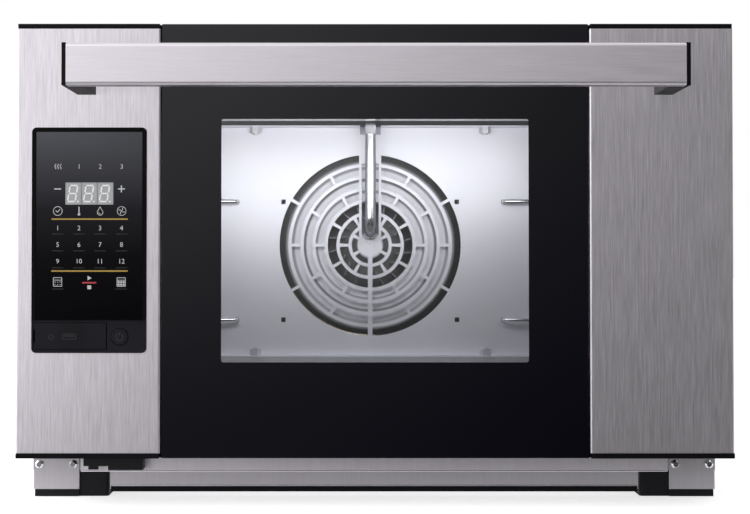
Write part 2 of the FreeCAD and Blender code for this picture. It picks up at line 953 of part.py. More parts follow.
def make_cable_guide():
    """Black moulding on the base rail that leads the door's cable under the door."""
    back = base_front - size.rail_gauge
    front = back - size.guide_reach
    top = door_low - size.base_gap
    block_right = size.guide_inset - side
    block_left = block_right - size.guide_block
    tray_left = block_left - size.guide_tray
    guide = plate("CableGuide", "XZ", front, size.guide_reach,
                  [rectangle((block_left, block_right), (size.guide_low, top))])
    pad(guide, "XZ", front + size.guide_step, size.guide_reach - size.guide_step,
        [rectangle((tray_left, block_left), (size.guide_low + size.guide_step, top))], "Tray")
    tongue = centred(tray_left + size.guide_tongue, size.guide_tongue)
    pad(guide, "XZ", front + size.guide_step, size.guide_step,
        [rectangle(tongue, (size.guide_low, size.guide_low + size.guide_step))], "Tongue")
    node(guide, "cable_guide")


# Casing.

def make_side_panels():
    gauge = size.casing_gauge
    flange = side - size.casing_flange
    panel = plate("SidePanelRight", "XY", size.pan_wall_top, cover_low - size.pan_wall_top, [[
        (flange, frame_back), (side, frame_back), (side, rear_inner), (flange, rear_inner),
        (flange, rear_inner - gauge), (side - gauge, rear_inner - gauge),
        (side - gauge, frame_back + gauge), (flange, frame_back + gauge),
    ]])
    node(panel, "side_panel_right")
    node(mirrored("SidePanelLeft", panel), "side_panel_left")


def make_top_cover():
    gauge = size.casing_gauge
    leg = side - gauge
    low = cover_low - size.casing_flange
    inset = size.casing_flange
    cover = plate("TopCover", "XY", cover_low, gauge, [rectangle((-side, side), (body_front, body_back))])
    legs = [rectangle((leg - gauge, leg), (frame_back + inset, rear_inner - inset)),
            rectangle((-leg, gauge - leg), (frame_back + inset, rear_inner - inset))]
    pad(cover, "XY", low, size.casing_flange, legs, "Legs")
    pocket(cover, "XY", cover_low, gauge,
           [("circle", size.flue_x, flue_y, size.flue_radius + size.fit_play)], "FlueHole")
    node(cover, "top_cover")


def make_rear_panel():
    gauge = size.casing_gauge
    panel = plate("RearPanel", "XZ", rear_inner, gauge,
                  [rectangle((-side, side), (size.pan_wall_top, cover_low))])
    pocket(panel, "XZ", rear_inner, gauge, [
        ("circle", valve_x, size.valve_height, inlet_collar + size.fit_play),
        ("circle", gland_x, size.gland_height, size.gland_thread + size.fit_play),
    ], "Fittings")
    low = fan_height - size.vent_drop
    slots = [rectangle(centred(x, size.vent_length), (low, low + size.vent_height))
             for x in (-size.vent_centre_x, size.vent_centre_x)]
    vent = pocket(panel, "XZ", rear_inner, gauge, slots, "Vent")
    rows = panel.newObject("PartDesign::LinearPattern", "VentRows")
    rows.Originals = [vent]
    rows.Direction = (vent.Profile[0], ["V_Axis"])
    bind(rows, "Length", size.vent_pitch * (size.vent_count - 1))
    bind(rows, "Occurrences", size.vent_count)
    panel.Tip = rows
    node(panel, "rear_panel")


def make_front_frame():
    opening = rectangle(centred(middle_line, cavity_width), (size.cavity_floor, cavity_top),
                        size.cavity_corner)
    frame = plate("FrontFrame", "XZ", body_front, size.frame_gauge,
                  [rectangle((-side, side), (size.pan_wall_top, cover_low)), opening])
    node(frame, "front_frame")


def make_gasket():
    """Moulded seal round the mouth of the chamber, rounded towards the door."""
    near = size.gasket_margin
    far = near + size.gasket_width
    half = cavity_half
    front = door_back + size.seal_play
    low, high = size.cavity_floor, cavity_top
    loops = [
        rectangle((-half - far, half + far), (low - far, high + far), size.gasket_corner),
        rectangle((-half - near, half + near), (low - near, high + near), size.gasket_corner - near),
    ]
    gasket = plate("DoorGasket", "XZ", front, body_front - front, loops)
    doc.recompute()
    rounding = gasket.newObject("PartDesign::Fillet", "Bulb")
    tip = gasket.Group[-2]
    rims = []
    for index, edge in enumerate(tip.Shape.Edges, start=1):
        box = edge.BoundBox
        if abs(box.YMax - float(front)) < EDGE_MATCH:
            rims.append(f"Edge{index}")
    rounding.Base = (tip, rims)
    bind(rounding, "Radius", size.gasket_round)
    gasket.Tip = rounding
    node(gasket, "door_gasket")


def make_flue():
    outer = size.flue_radius
    inner = outer - size.flue_wall
    top = cabinet_height + size.flue_rise
    flange_top = cabinet_height + size.flue_wall
    flue = turned("ExhaustFlue", "Z", (size.flue_x, flue_y, 0), [
        (liner_top, inner), (liner_top, outer), (cabinet_height, outer),
        (cabinet_height, size.flue_flange), (flange_top, size.flue_flange), (flange_top, outer),
        (top, outer), (top, inner),
    ])
    node(flue, "exhaust_flue")


# Cooking chamber.

def leg_spots():
    """Where the heating element's two ends pass through the rear wall."""
    inner_leg = (size.coil_bend, fan_height - size.coil_end_radius)
    outer_leg = (-size.coil_bend, fan_height - size.coil_radius)
    return inner_leg, outer_leg


def leg_holes(play):
    return [("circle", x, z, size.coil_wire + play) for x, z in leg_spots()]


def make_liner():
    """Chamber of welded sheets: floor, ceiling, rear wall and side walls folded at the corners."""
    gauge = size.liner_gauge
    corner = size.cavity_corner
    seam = cavity_half - corner - size.liner_lip
    deep = (frame_back, liner_back)
    low, high = size.cavity_floor, cavity_top
    outside = corner + gauge
    floor = block("LinerFloor", (-seam, seam), deep, (liner_bottom, low))
    ceiling = plate("LinerCeiling", "XY", high, gauge, [
        rectangle((-seam, seam), deep),
        ("circle", size.flue_x, flue_y, size.flue_radius - size.flue_wall),
        ("circle", middle_line, tube_y, size.tube_radius + size.shaft_play),
    ])
    wall = plate("LinerWallRight", "XZ", frame_back, liner_back - frame_back, [[
        (seam, low), (cavity_half, low, corner), (cavity_half, high, corner), (seam, high),
        (seam, liner_top), (liner_side, liner_top, outside), (liner_side, liner_bottom, outside),
        (seam, liner_bottom),
    ]])
    rear = plate("LinerRear", "XZ", liner_back, gauge, [
        rectangle((-liner_side, liner_side), (liner_bottom, liner_top), outside),
        ("circle", middle_line, fan_height, size.shaft_hole),
    ] + leg_holes(size.fit_play))
    sheets = [floor, ceiling, wall, mirrored("LinerWallLeft", wall), rear]
    node(gathered("CavityLiner", sheets), "cavity_liner")


def make_insulation():
    sides = (-blanket_side, blanket_side)
    deep = (frame_back, liner_outer_back)
    long = liner_outer_back - frame_back
    top = plate("BlanketTop", "XY", liner_top, size.insulation, [rectangle(sides, deep)])
    pocket(top, "XY", liner_top, size.insulation, [
        ("circle", size.flue_x, flue_y, size.flue_radius + size.fit_play),
        ("circle", middle_line, tube_y, size.tube_nut_flats / 2),
    ], "Holes")
    bottom = block("BlanketBottom", sides, deep, (blanket_bottom, liner_bottom))
    flank = plate("BlanketRight", "XZ", frame_back, long,
                  [rectangle((liner_side, blanket_side), (liner_bottom, liner_top))])
    back = plate("BlanketBack", "XZ", liner_outer_back, size.insulation,
                 [rectangle(sides, (blanket_bottom, blanket_top))])
    posts = [("circle", x, fan_height + z, size.post_radius + size.fit_play) for x, z in post_spots()]
    pocket(back, "XZ", liner_outer_back, size.insulation,
           [("circle", middle_line, fan_height, size.shaft_hole)] + posts + leg_holes(size.fit_play),
           "Holes")
    members = [top, bottom, flank, mirrored("BlanketLeft", flank), back]
    node(gathered("Insulation", members), "insulation_blankets")


def make_baffle():
    """Folded plate with a grille of concentric slots in front of the fan."""
    gauge = size.baffle_gauge
    lip = baffle_front - size.baffle_flange
    back = baffle_front + gauge
    low, high = size.cavity_floor, cavity_top
    half_width = cavity_half - size.baffle_inset
    body = plate("AirBaffle", "YZ", -half_width, 2 * half_width, [[
        (lip, low), (back, low), (back, high), (lip, high), (lip, high - gauge),
        (baffle_front, high - gauge), (baffle_front, low + gauge), (lip, low + gauge),
    ]])
    doc.recompute()
    for ring in range(count(size.grille_rings)):
        outer = size.grille_radius - size.grille_pitch * ring
        innermost = ring == count(size.grille_rings) - 1
        inner = size.grille_hub if innermost else outer - size.grille_slot
        # slots of neighbouring rings are staggered by half a step
        upright = ring % 2 == 1
        plane, shift = ("YZ", (baffle_front, fan_height)) if upright else ("XY", (0, 0))
        level = 0 if upright else fan_height
        sketch = sketch_in(body, plane, level, f"Slot{ring}Sketch", shift)
        across = (-gauge, 2 * gauge)
        if upright:
            draw(sketch, [rectangle(across, (inner, outer))])
            line = "H_Axis"
        else:
            draw(sketch, [rectangle((inner, outer), (baffle_front - gauge, back + gauge))])
            line = "V_Axis"
        groove = body.newObject("PartDesign::Groove", f"Slot{ring}")
        groove.Profile = sketch
        groove.ReferenceAxis = (sketch, [line])
        groove.Midplane = True
        bridge = size.bridge_width / ((inner + outer) / 2) * math.degrees(1)
        bind(groove, "Angle", FULL_TURN / size.bridge_count - bridge)
        before = body.Shape.Volume
        polar(body, groove, sketch, line, size.bridge_count, f"Ring{ring}")
        must_cut(body, before, f"Ring{ring}")
    bar = centred(middle_line, size.grille_bar)
    pad(body, "XZ", baffle_front, gauge,
        [rectangle(bar, (fan_height - size.grille_radius - gauge, fan_height))], "LowerBar")
    half = size.notch_half
    mouth = fan_height + size.tube_mouth_rise
    notch_top = fan_height + size.grille_radius
    pad(body, "XZ", baffle_front, gauge,
        [rectangle((-half - size.notch_bar, half + size.notch_bar),
                   (mouth - half - size.notch_bar, notch_top))], "NotchBars")
    pocket(body, "XZ", baffle_front, gauge, [[
        (-half, mouth - half, size.notch_round), (half, mouth - half, size.notch_round),
        (half, notch_top - size.grille_slot), (-half, notch_top - size.grille_slot),
    ]], "Notch")
    hooks = []
    for x in (-size.hook_x, size.hook_x):
        for z in stay_levels:
            hooks.append(rectangle(centred(x, size.hook_slot), centred(z, size.hook_slot)))
    stays = [("circle", x, z, size.rack_wire + size.stay_play)
             for x in (-size.stay_end, size.stay_end) for z in stay_levels]
    pocket(body, "XZ", baffle_front, gauge, hooks + stays, "Hooks")
    stud_y = baffle_front - size.stud_setback
    studs = [("circle", x, stud_y, size.stud_radius + size.shaft_play) for x in (-size.stud_x, size.stud_x)]
    pocket(body, "XY", low, gauge, studs, "LowerStuds")
    pocket(body, "XY", high - gauge, gauge, studs, "UpperStuds")
    node(body, "air_baffle")


def make_baffle_nuts():
    """Weld studs on the chamber's ceiling and floor, each with a hex nut."""
    y = baffle_front - size.stud_setback
    stud = size.baffle_gauge + size.nut_height + size.stud_tail
    places = (("Upper", cavity_top - stud, cavity_top - size.baffle_gauge - size.nut_height),
              ("Lower", size.cavity_floor, size.cavity_floor + size.baffle_gauge))
    members = []
    for place, start, seat in places:
        pin = rod(f"{place}Stud", "Z", (size.stud_x, y, start), stud, size.stud_radius)
        nut = hexagon(f"{place}Nut", "Z", (size.stud_x, y, seat), size.nut_height, size.nut_flats)
        pair = fused(f"{place}Fixing", [pin, nut])
        members += [pair, mirrored(f"{place}FixingLeft", pair)]
    node(gathered("BaffleNuts", members), "baffle_nuts")


def rack_wires(hand):
    """The welded wires of one rack; hand is 1 for the right side and -1 for the left."""
    x_wall = hand * (cavity_half - size.cavity_corner - size.rack_post)
    x_rail = x_wall - hand * size.rack_reach
    x_end = hand * size.stay_end
    y_front = frame_back + size.rack_front
    y_rear = baffle_front - size.rack_rear
    y_stay = baffle_front - size.stay_setback
    height = float(cavity_height - size.rack_headroom)
    bend = float(size.rack_bend)
    posts = [Part.makeCylinder(float(size.rack_post), height, vector(x_wall, y, size.cavity_floor))
             for y in (y_front, y_rear)]
    runs = []
    for z in stay_levels:
        corner = vector(x_end, y_stay, z)
        along = bent_path([vector(x_wall, y_front, z), vector(x_wall, y_stay, z), corner], bend)
        # the stay ends in a short bend into its hole in the baffle
        turn_start = along[-1].valueAt(along[-1].FirstParameter)
        hole = vector(x_end, baffle_front + size.baffle_gauge, z)
        hook = bent_path([turn_start, corner, hole], float(size.stay_setback / 2))
        runs.append(along[:-1] + hook)
    for level in range(count(size.rack_levels)):
        z = rail_first + size.rack_pitch * level
        runs.append(bent_path([vector(x_wall, y_front, z), vector(x_rail, y_front, z),
                               vector(x_rail, y_rear, z), vector(x_wall, y_rear, z)], bend))
    welded = [sweep_round(run, float(size.rack_wire)).cut(posts) for run in runs]
    return posts + [solid for wire in welded for solid in wire.Solids]


def make_racks():
    """Wire racks: two posts, two stays hooked into the baffle and the tray rails."""
    for label, hand in (("right", 1), ("left", -1)):
        rack = formed(f"TrayRack_{label}", Part.makeCompound(rack_wires(hand)))
        node(rack, f"tray_rack_{label}")


# Fan and motor.

def post_spots():
    half = size.mount_spacing / 2
    return [(x, z) for x in (-half, half) for z in (-half, half)]


def add_sector(sketch, x, y, inner, outer, start, end):
    """A curved band about a centre, between two radii and two directions in degrees."""
    centre = vector(x, y, 0)
    angles = [math.radians(float(a)) for a in (start, end)]
    arcs = []
    for radius in (outer, inner):
        circle = Part.Circle(centre, AXES["Z"], float(radius))
        arcs.append(sketch.addGeometry(Part.ArcOfCircle(circle, *angles)))
        constrain(sketch, radius, "Radius", arcs[-1])
    pin_point(sketch, arcs[0], 3, x, y)
    sketch.addConstraint(Sketcher.Constraint("Coincident", arcs[0], 3, arcs[1], 3))
    for position, angle in zip((1, 2), angles):
        way = FreeCAD.Vector(math.cos(angle), math.sin(angle), 0)
        line = sketch.addGeometry(Part.LineSegment(centre + way * float(inner), centre + way * float(outer)))
        sketch.addConstraint(Sketcher.Constraint("Coincident", line, 1, arcs[1], position))
        sketch.addConstraint(Sketcher.Constraint("Coincident", line, 2, arcs[0], position))
        sketch.addConstraint(Sketcher.Constraint("PointOnObject", arcs[0], 3, line))


def make_fan():
    """Radial wheel: back plate with hub, curved blades and a front ring round the eye."""
    wheel = new_body("FanWheel")
    centre = (middle_line, fan_back, fan_height)
    turn(wheel, "Y", centre, [
        (-size.fan_hub_length, size.shaft_radius), (0, size.shaft_radius), (0, size.fan_radius),
        (-size.fan_plate, size.fan_radius), (-size.fan_plate, size.fan_hub_radius),
        (-size.fan_hub_length, size.fan_hub_radius),
    ], "BackPlate")
    # a blade is an arc from the eye to the rim, about a centre beside the shaft
    curve = size.blade_curve
    middle_x = (size.blade_inner + size.fan_radius) / 2
    reach = (size.fan_radius - size.blade_inner - size.fan_plate) / 2
    drop = math.sqrt(float(curve) ** 2 - float(reach) ** 2)
    spread = math.degrees(math.asin(float(reach) / float(curve)))
    sketch = sketch_in(wheel, "XZ", fan_front, "BladeSketch", (0, fan_height))
    add_sector(sketch, middle_x, -drop, curve, curve + size.blade_gauge,
               QUARTER_TURN - spread, QUARTER_TURN + spread)
    blade = wheel.newObject("PartDesign::Pad", "Blade")
    blade.Profile = sketch
    blade.Reversed = True
    bind(blade, "Length", size.fan_width - size.fan_plate / 2)
    doc.recompute()
    polar(wheel, blade, sketch, "N_Axis", size.blade_count, "Blades")
    turn(wheel, "Y", (middle_line, fan_front, fan_height), [
        (0, size.fan_eye), (size.fan_plate, size.fan_eye),
        (size.fan_plate, size.fan_radius), (0, size.fan_radius),
    ], "FrontRing")
    node(wheel, "fan_wheel")

    shaft_front = -size.fan_hub_length - size.hub_nut_height - size.stud_tail
    shaft_back = cooler_front + size.cooler_width - fan_back
    shaft = turned("MotorShaft", "Y", centre, [
        (shaft_front, 0), (shaft_back, 0), (shaft_back, size.shaft_radius),
        (-size.fan_hub_length, size.shaft_radius), (-size.fan_hub_length, size.shaft_thread),
        (shaft_front, size.shaft_thread),
    ])
    node(shaft, "motor_shaft")
    nut_start = (0, fan_back - size.fan_hub_length - size.hub_nut_height, fan_height)
    nut = cut("HubNut", hexagon("HubNutBlank", "Y", nut_start, size.hub_nut_height, size.hub_nut_flats),
              [rod("HubNutBore", "Y", nut_start, size.hub_nut_height, size.shaft_thread)])
    node(nut, "hub_nut")


def make_motor():
    posts = [("circle", x, fan_height + z, size.post_radius) for x, z in post_spots()]
    half = size.mount_size / 2
    mount = plate("MotorMount", "XZ", mount_front, size.mount_gauge, [
        rectangle((-half, half), (fan_height - half, fan_height + half), size.post_radius),
        ("circle", middle_line, fan_height, size.shaft_hole),
    ])
    pad(mount, "XZ", liner_outer_back, size.insulation, posts, "Posts")
    node(mount, "motor_mount")

    bell = size.motor_bell
    bore = size.shaft_radius + size.shaft_play
    end = size.motor_length
    motor = turned("Motor", "Y", (middle_line, motor_front, fan_height), [
        (0, bore), (end, bore), (end, size.motor_bell_radius, size.motor_bell_round),
        (end - bell, size.motor_radius), (bell, size.motor_radius), (0, size.motor_radius),
    ])
    node(motor, "motor_housing")

    cooler = new_body("CoolingFan")
    hub = size.cooler_hub
    turn(cooler, "Y", (middle_line, cooler_front, fan_height), [
        (0, size.shaft_radius), (size.cooler_width, size.shaft_radius), (size.cooler_width, hub), (0, hub),
    ], "Hub")
    sketch = sketch_in(cooler, "XZ", cooler_front, "VaneSketch", (0, fan_height))
    draw(sketch, [rectangle((hub - size.blade_gauge, size.cooler_radius),
                            centred(middle_line, size.blade_gauge))])
    vane = cooler.newObject("PartDesign::Pad", "Vane")
    vane.Profile = sketch
    vane.Reversed = True
    bind(vane, "Length", size.cooler_width)
    polar(cooler, vane, sketch, "N_Axis", size.cooler_blades, "Vanes")
    node(cooler, "cooling_fan")


def helix_chain(axis, centre, radius_at, pitch, turns, start_angle, handed=1):
    """Quarter-turn biarcs along a coil about an axis through the centre."""
    first, second = {"Y": ("X", "Z"), "X": ("Y", "Z")}[axis]
    steps = count(turns * FULL_TURN / QUARTER_TURN)

    def spot(step):
        angle = math.radians(start_angle + handed * QUARTER_TURN * step)
        radial = AXES[first] * math.cos(angle) + AXES[second] * math.sin(angle)
        return centre + radial * radius_at(step / steps) + AXES[axis] * (pitch * turns * step / steps)

    def way(step):
        small = 1e-3
        return (spot(step + small) - spot(step - small)).normalize()

    edges = []
    for step in range(steps):
        edges += biarc(spot(step), way(step), spot(step + 1), way(step + 1))
    return edges, spot(0), way(0), spot(steps), way(steps)


def make_heater():
    """Tubular element wound round the fan; its front end returns inside the coil."""
    wire = float(size.coil_wire)
    turns = float(size.coil_turns)
    outer = float(size.coil_radius)
    inner = float(size.coil_end_radius)

    def radius_at(share):
        last_turn = max(0.0, share * turns - (turns - 1))
        ease = last_turn ** 2 * (3 - 2 * last_turn)
        return outer + (inner - outer) * ease

    rear = fan_back - size.fan_plate
    centre = vector(0, rear, fan_height)
    edges, start, start_way, end, end_way = helix_chain(
        "Y", centre, radius_at, -float(size.coil_pitch), turns, -QUARTER_TURN)
    bend = float(size.coil_bend)
    tail_y = float(blanket_back + size.coil_tail)
    lead_corner = start - start_way * bend
    tail_corner = end + end_way * bend
    lead = bent_path([FreeCAD.Vector(lead_corner.x, tail_y, lead_corner.z), lead_corner, start],
                     bend * FULL_ROUND)
    tail = bent_path([end, tail_corner, FreeCAD.Vector(tail_corner.x, tail_y, tail_corner.z)],
                     bend * FULL_ROUND)
    chain = lead + edges + tail
    print("heating element, least gap", round(least_gap(chain, wire), 2))
    node(formed("HeatingElement", sweep_coil(chain, wire)), "heating_element")


# Water system.

def make_water():
    mouth = fan_height + size.tube_mouth_rise
    end = baffle_front + size.baffle_gauge + size.tube_through
    points = [vector(0, tube_y, tube_top), vector(0, tube_y, mouth), vector(0, end, mouth)]
    path = bent_path(points, float(size.tube_bend))
    outer = sweep_round(path, float(size.tube_radius))
    bore = sweep_round(path, float(size.tube_radius - size.tube_wall))
    node(formed("WaterTube", outer.cut(bore)), "water_tube")

    seat = (0, tube_y, cavity_top - size.tube_nut_height)
    nut = hexagon("TubeNutBlank", "Z", seat, size.tube_nut_height, size.tube_nut_flats)
    bore_rod = rod("TubeNutBore", "Z", seat, size.tube_nut_height, size.tube_radius + size.shaft_play)
    node(cut("TubeNut", nut, [bore_rod]), "tube_nut")

    valve_top = size.valve_height + size.valve_rise
    route = [vector(0, tube_y, tube_top), vector(0, tube_y, line_level),
             vector(0, line_back, line_level), vector(valve_x, line_back, line_level),
             vector(valve_x, line_back, valve_top)]
    line = sweep_round(bent_path(route, float(size.line_bend)), float(size.line_radius))
    node(formed("WaterLine", line), "water_line")

    half = size.valve_body / 2
    centre = (valve_x, line_back, size.valve_height)
    valve = new_body("WaterValve")
    inside = rear_inner - line_back
    outside = body_back - line_back
    tip = outside + size.rear_reach
    turn(valve, "Y", centre, [
        (-half, 0), (inside, 0), (inside, size.inlet_nut),
        (half, size.inlet_nut), (half, half), (-half, half),
    ], "Barrel")
    turn(valve, "Y", centre, [
        (inside, 0), (tip, 0), (tip, size.inlet_radius), (outside, size.inlet_radius),
        (outside, inlet_collar), (inside, inlet_collar),
    ], "Thread")
    lip = size.line_radius + size.outlet_lip
    turn(valve, "Z", (valve_x, line_back, 0), [
        (size.valve_height, 0), (valve_top, 0), (valve_top, size.line_radius),
        (valve_top - size.outlet_taper, lip), (size.valve_height, lip),
    ], "Outlet")
    pocket(valve, "XZ", rear_inner, size.rear_reach + size.casing_gauge,
           [("circle", valve_x, size.valve_height, size.inlet_bore)], "InletBore")
    coil_low = size.valve_height - half - size.valve_body
    pad(valve, "XY", coil_low, size.valve_body + half,
        [rectangle(centred(valve_x, size.valve_body), centred(line_back, size.valve_body),
                   size.valve_corner)], "Coil")
    node(valve, "water_valve")


# Electrics.

def make_electrics():
    gauge = size.board_gauge
    wall = size.casing_gauge - side
    face = wall + size.board_standoff
    high = size.board_low + size.board_height
    front = body_front + size.board_setback
    back = front + size.board_depth
    board = block("PowerCard", (face, face + gauge), (front, back), (size.board_low, high))
    inset = size.board_standoff
    members = [board]
    for y in (front + inset, back - inset):
        for z in (size.board_low + inset, high - inset):
            members.append(rod("BoardPost", "X", (wall, y, z), size.board_standoff, size.board_standoff / 2))
    parts_deep = (face + gauge, face + gauge + size.part_height)
    step = size.board_depth / (size.relay_count + 1)
    for index in range(count(size.relay_count)):
        along = centred(front + step * (index + 1), size.relay_length)
        members.append(block(f"Relay{index}", parts_deep, along,
                             centred(size.board_low + size.relay_rise, size.relay_height)))
    members.append(block("Transformer", parts_deep, centred((front + back) / 2, size.transformer_size),
                         centred(high - size.transformer_drop, size.transformer_size)))
    node(fused("PowerBoard", members), "power_board")

    low = size.pan_floor + size.casing_gauge
    deep = centred(rear_inner - size.casing_flange - size.terminal_depth, size.terminal_depth)
    terminals = plate("TerminalBlock", "YZ", gland_x - size.terminal_width / 2, size.terminal_width, [[
        (deep[0], low), (deep[1], low), (deep[1], low + size.terminal_step),
        (deep[1] - size.terminal_ledge, low + size.terminal_step),
        (deep[1] - size.terminal_ledge, low + size.terminal_height), (deep[0], low + size.terminal_height),
    ]])
    node(terminals, "terminal_block")

    bore = size.gland_bore
    rim = size.gland_flats / 2
    gland = turned("CableGland", "Y", (gland_x, body_back, size.gland_height), [
        (-size.gland_inside, bore), (size.gland_reach, bore), (size.gland_reach, size.gland_thread),
        (size.gland_nut, rim, size.gland_round), (0, rim), (0, size.gland_thread),
        (-size.casing_gauge, size.gland_thread), (-size.casing_gauge, rim), (-size.gland_inside, rim),
    ])
    node(gland, "cable_gland")


# Door leaf.

def control_loop(inset):
    """Outline of the control panel, or a smaller one inside it."""
    return rectangle((control_left + inset, control_right - inset),
                     (control_base + inset, control_top - inset), size.control_corner - inset)


def touch_loop(inset):
    return rectangle((touch_left + inset, touch_right - inset), (touch_low + inset, touch_top - inset))


def make_door_skins():
    """Folded steel skin: front face, outer side with a lip, and an edge folded along the glass."""
    gauge = size.skin_gauge
    lip = door_side - size.skin_lip
    edge = skin_inner + gauge

    def skin_body(name):
        return plate(name, "XY", skin_low, skin_high - skin_low, [[
            (skin_inner, door_front, size.skin_round), (door_side, door_front, size.skin_round),
            (door_side, panel_front), (lip, panel_front), (lip, panel_front - gauge),
            (door_side - gauge, panel_front - gauge), (door_side - gauge, door_front + gauge),
            (edge, door_front + gauge), (edge, door_front + size.skin_fold),
            (skin_inner, door_front + size.skin_fold),
        ]])

    node(skin_body("DoorSkinRight"), "door_skin_right")
    plain = mirrored("DoorSkinLeftBlank", skin_body("DoorSkinSource"))
    opening = plate("ControlOpening", "XZ", door_front, gauge,
                    [control_loop(size.bezel_lap - size.panel_play)])
    node(cut("DoorSkinLeft", plain, [opening]), "door_skin_left")


def rail_outline(half, front, slots):
    """Plan of a door rail: set back behind the glass, with slots for the hinge arms."""
    notch = skin_inner + size.glass_play
    rear = [(half, panel_front)]
    if slots:
        slot_front = hinge_y - size.arm_half - size.arm_play
        low, high = arm_slot
        rear += [(high, panel_front), (high, slot_front), (low, slot_front), (low, panel_front)]
        rear += [(-low, panel_front), (-low, slot_front), (-high, slot_front), (-high, panel_front)]
    rear.append((-half, panel_front))
    return [(-half, front), (-notch, front), (-notch, mask_back), (notch, mask_back), (notch, front),
            (half, front)] + rear


def make_door_rails():
    top = plate("DoorTopRail", "XY", skin_high, size.door_rail_height,
                [rail_outline(door_side - size.panel_inset, door_front + size.rail_proud, False)])
    node(top, "door_top_rail")
    bottom = plate("DoorBottomRail", "XY", door_low, size.door_rail_height,
                   [rail_outline(side, door_front - size.rail_proud, True)])
    node(bottom, "door_bottom_rail")


def window_loop(margin, corner):
    half = size.window_width / 2 + margin
    rise = size.window_height / 2 + margin
    return rectangle((-half, half), (door_middle - rise, door_middle + rise), corner)


def make_door_glass():
    half = skin_inner - size.glass_play
    tall = (door_low, door_high)
    node(plate("OuterGlass", "XZ", glass_front, size.glass_gauge, [rectangle((-half, half), tall)]),
         "door_outer_glass")
    node(plate("GlassMask", "XZ", mask_front, size.mask_gauge,
               [rectangle((-half, half), tall), window_loop(0, size.window_corner)]), "glass_mask")
    node(plate("InnerGlass", "XZ", panel_front - size.glass_gauge, size.glass_gauge,
               [window_loop(size.inner_margin + size.inner_lap, size.inner_corner)]), "door_inner_glass")


def make_inner_panel():
    half = door_side - size.panel_inset
    low, high = arm_slot
    sill = door_low + size.panel_inset
    top = door_high - size.panel_inset
    arch = hinge_z + size.arm_half + size.arm_play
    outline = [
        (-half, sill), (-high, sill), (-high, arch), (-low, arch), (-low, sill),
        (low, sill), (low, arch), (high, arch), (high, sill), (half, sill), (half, top), (-half, top),
    ]
    node(plate("InnerPanel", "XZ", panel_front, size.panel_gauge,
               [outline, window_loop(size.inner_margin, size.inner_corner)]), "door_inner_panel")


def make_glass_clips():
    """Spring clips that press the inner glass against the panel."""
    reach = size.window_height / 2 + size.inner_margin + size.inner_lap
    face = panel_front - size.glass_gauge
    gauge = size.clip_gauge
    clips = []
    for place, way in (("Upper", 1), ("Lower", -1)):
        edge = door_middle + way * reach
        step = edge + way * size.clip_play
        foot = step + way * size.clip_foot
        tip = edge - way * size.clip_lip
        for index, x in enumerate((size.clip_x, -size.clip_x)):
            clips.append(plate(f"Clip{place}{index}", "YZ", x - size.clip_width / 2, size.clip_width, [[
                (panel_front, foot), (panel_front, step), (face, step), (face, tip), (face - gauge, tip),
                (face - gauge, step + way * gauge), (panel_front - gauge, step + way * gauge),
                (panel_front - gauge, foot),
            ]]))
    node(gathered("GlassClips", clips), "inner_glass_clips")


def make_lamps():
    """Lamp strips behind the mask on both sides of the window, shining into the chamber."""
    inner = size.window_width / 2 + size.lamp_inset
    back = mask_back + size.lamp_depth
    strip = plate("LampRight", "XY", door_middle - size.window_height / 2, size.window_height, [[
        (inner, mask_back), (inner + size.lamp_width, mask_back), (inner + size.lamp_width, back),
        (inner + size.lamp_width - size.lamp_lens, back + size.lamp_lens),
        (inner + size.lamp_lens, back + size.lamp_lens), (inner, back),
    ]])
    node(gathered("DoorLamps", [strip, mirrored("LampLeft", strip)]), "door_lamps")


def make_handle():
    half = door_side - size.handle_inset
    top = door_high - size.handle_drop
    low = top - size.handle_height
    bar_half = half - size.end_cap
    bar_back = handle_front + size.handle_depth
    bar = plate("HandleBar", "YZ", -bar_half, 2 * bar_half,
                [rectangle((handle_front, bar_back), (low, top), size.handle_round)])
    node(bar, "handle_bar")
    end = plate("HandleEndRight", "XY", low, size.handle_height, [[
        (bar_half, handle_front), (half, handle_front, size.end_round), (half, door_front),
        (half - size.end_bracket, door_front), (half - size.end_bracket, bar_back), (bar_half, bar_back),
    ]])
    node(end, "handle_end_right")
    node(mirrored("HandleEndLeft", end), "handle_end_left")


# Control panel on the door.

def make_bezel():
    play = size.panel_play
    bezel = plate("ControlBezel", "XZ", bezel_front, size.bezel_proud, [control_loop(middle_line)])
    pad(bezel, "XZ", door_front, size.bezel_depth, [control_loop(size.bezel_lap)], "Box")
    pocket(bezel, "XZ", bezel_front, size.touch_seat, [touch_loop(-play)], "TouchSeat")
    pocket(bezel, "XZ", touch_back, bezel_back - touch_back, [touch_loop(size.touch_ledge)], "BoardWell")
    gap = size.flap_gap
    hinge_room = size.flap_gauge / 2 + gap
    seat = rectangle((flap_left - gap, flap_right + hinge_room), (flap_base - gap, flap_top + gap))
    pocket(bezel, "XZ", bezel_front, size.flap_seat, [seat], "FlapSeat")
    pocket(bezel, "XZ", flap_seat_back, bezel_back - flap_seat_back,
           [rectangle(centred(socket_x, size.socket_width + 2 * play),
                      centred(socket_z, size.socket_height + 2 * play))], "SocketHole")
    pocket(bezel, "XZ", bezel_front, bezel_back - bezel_front,
           [("circle", button_x, button_z, size.button_radius + size.button_play)], "ButtonHole")
    shoulder = door_front + size.button_shoulder
    pocket(bezel, "XZ", shoulder, bezel_back - shoulder,
           [("circle", button_x, button_z, size.button_collar + size.button_play)], "CollarWell")
    node(bezel, "control_bezel")


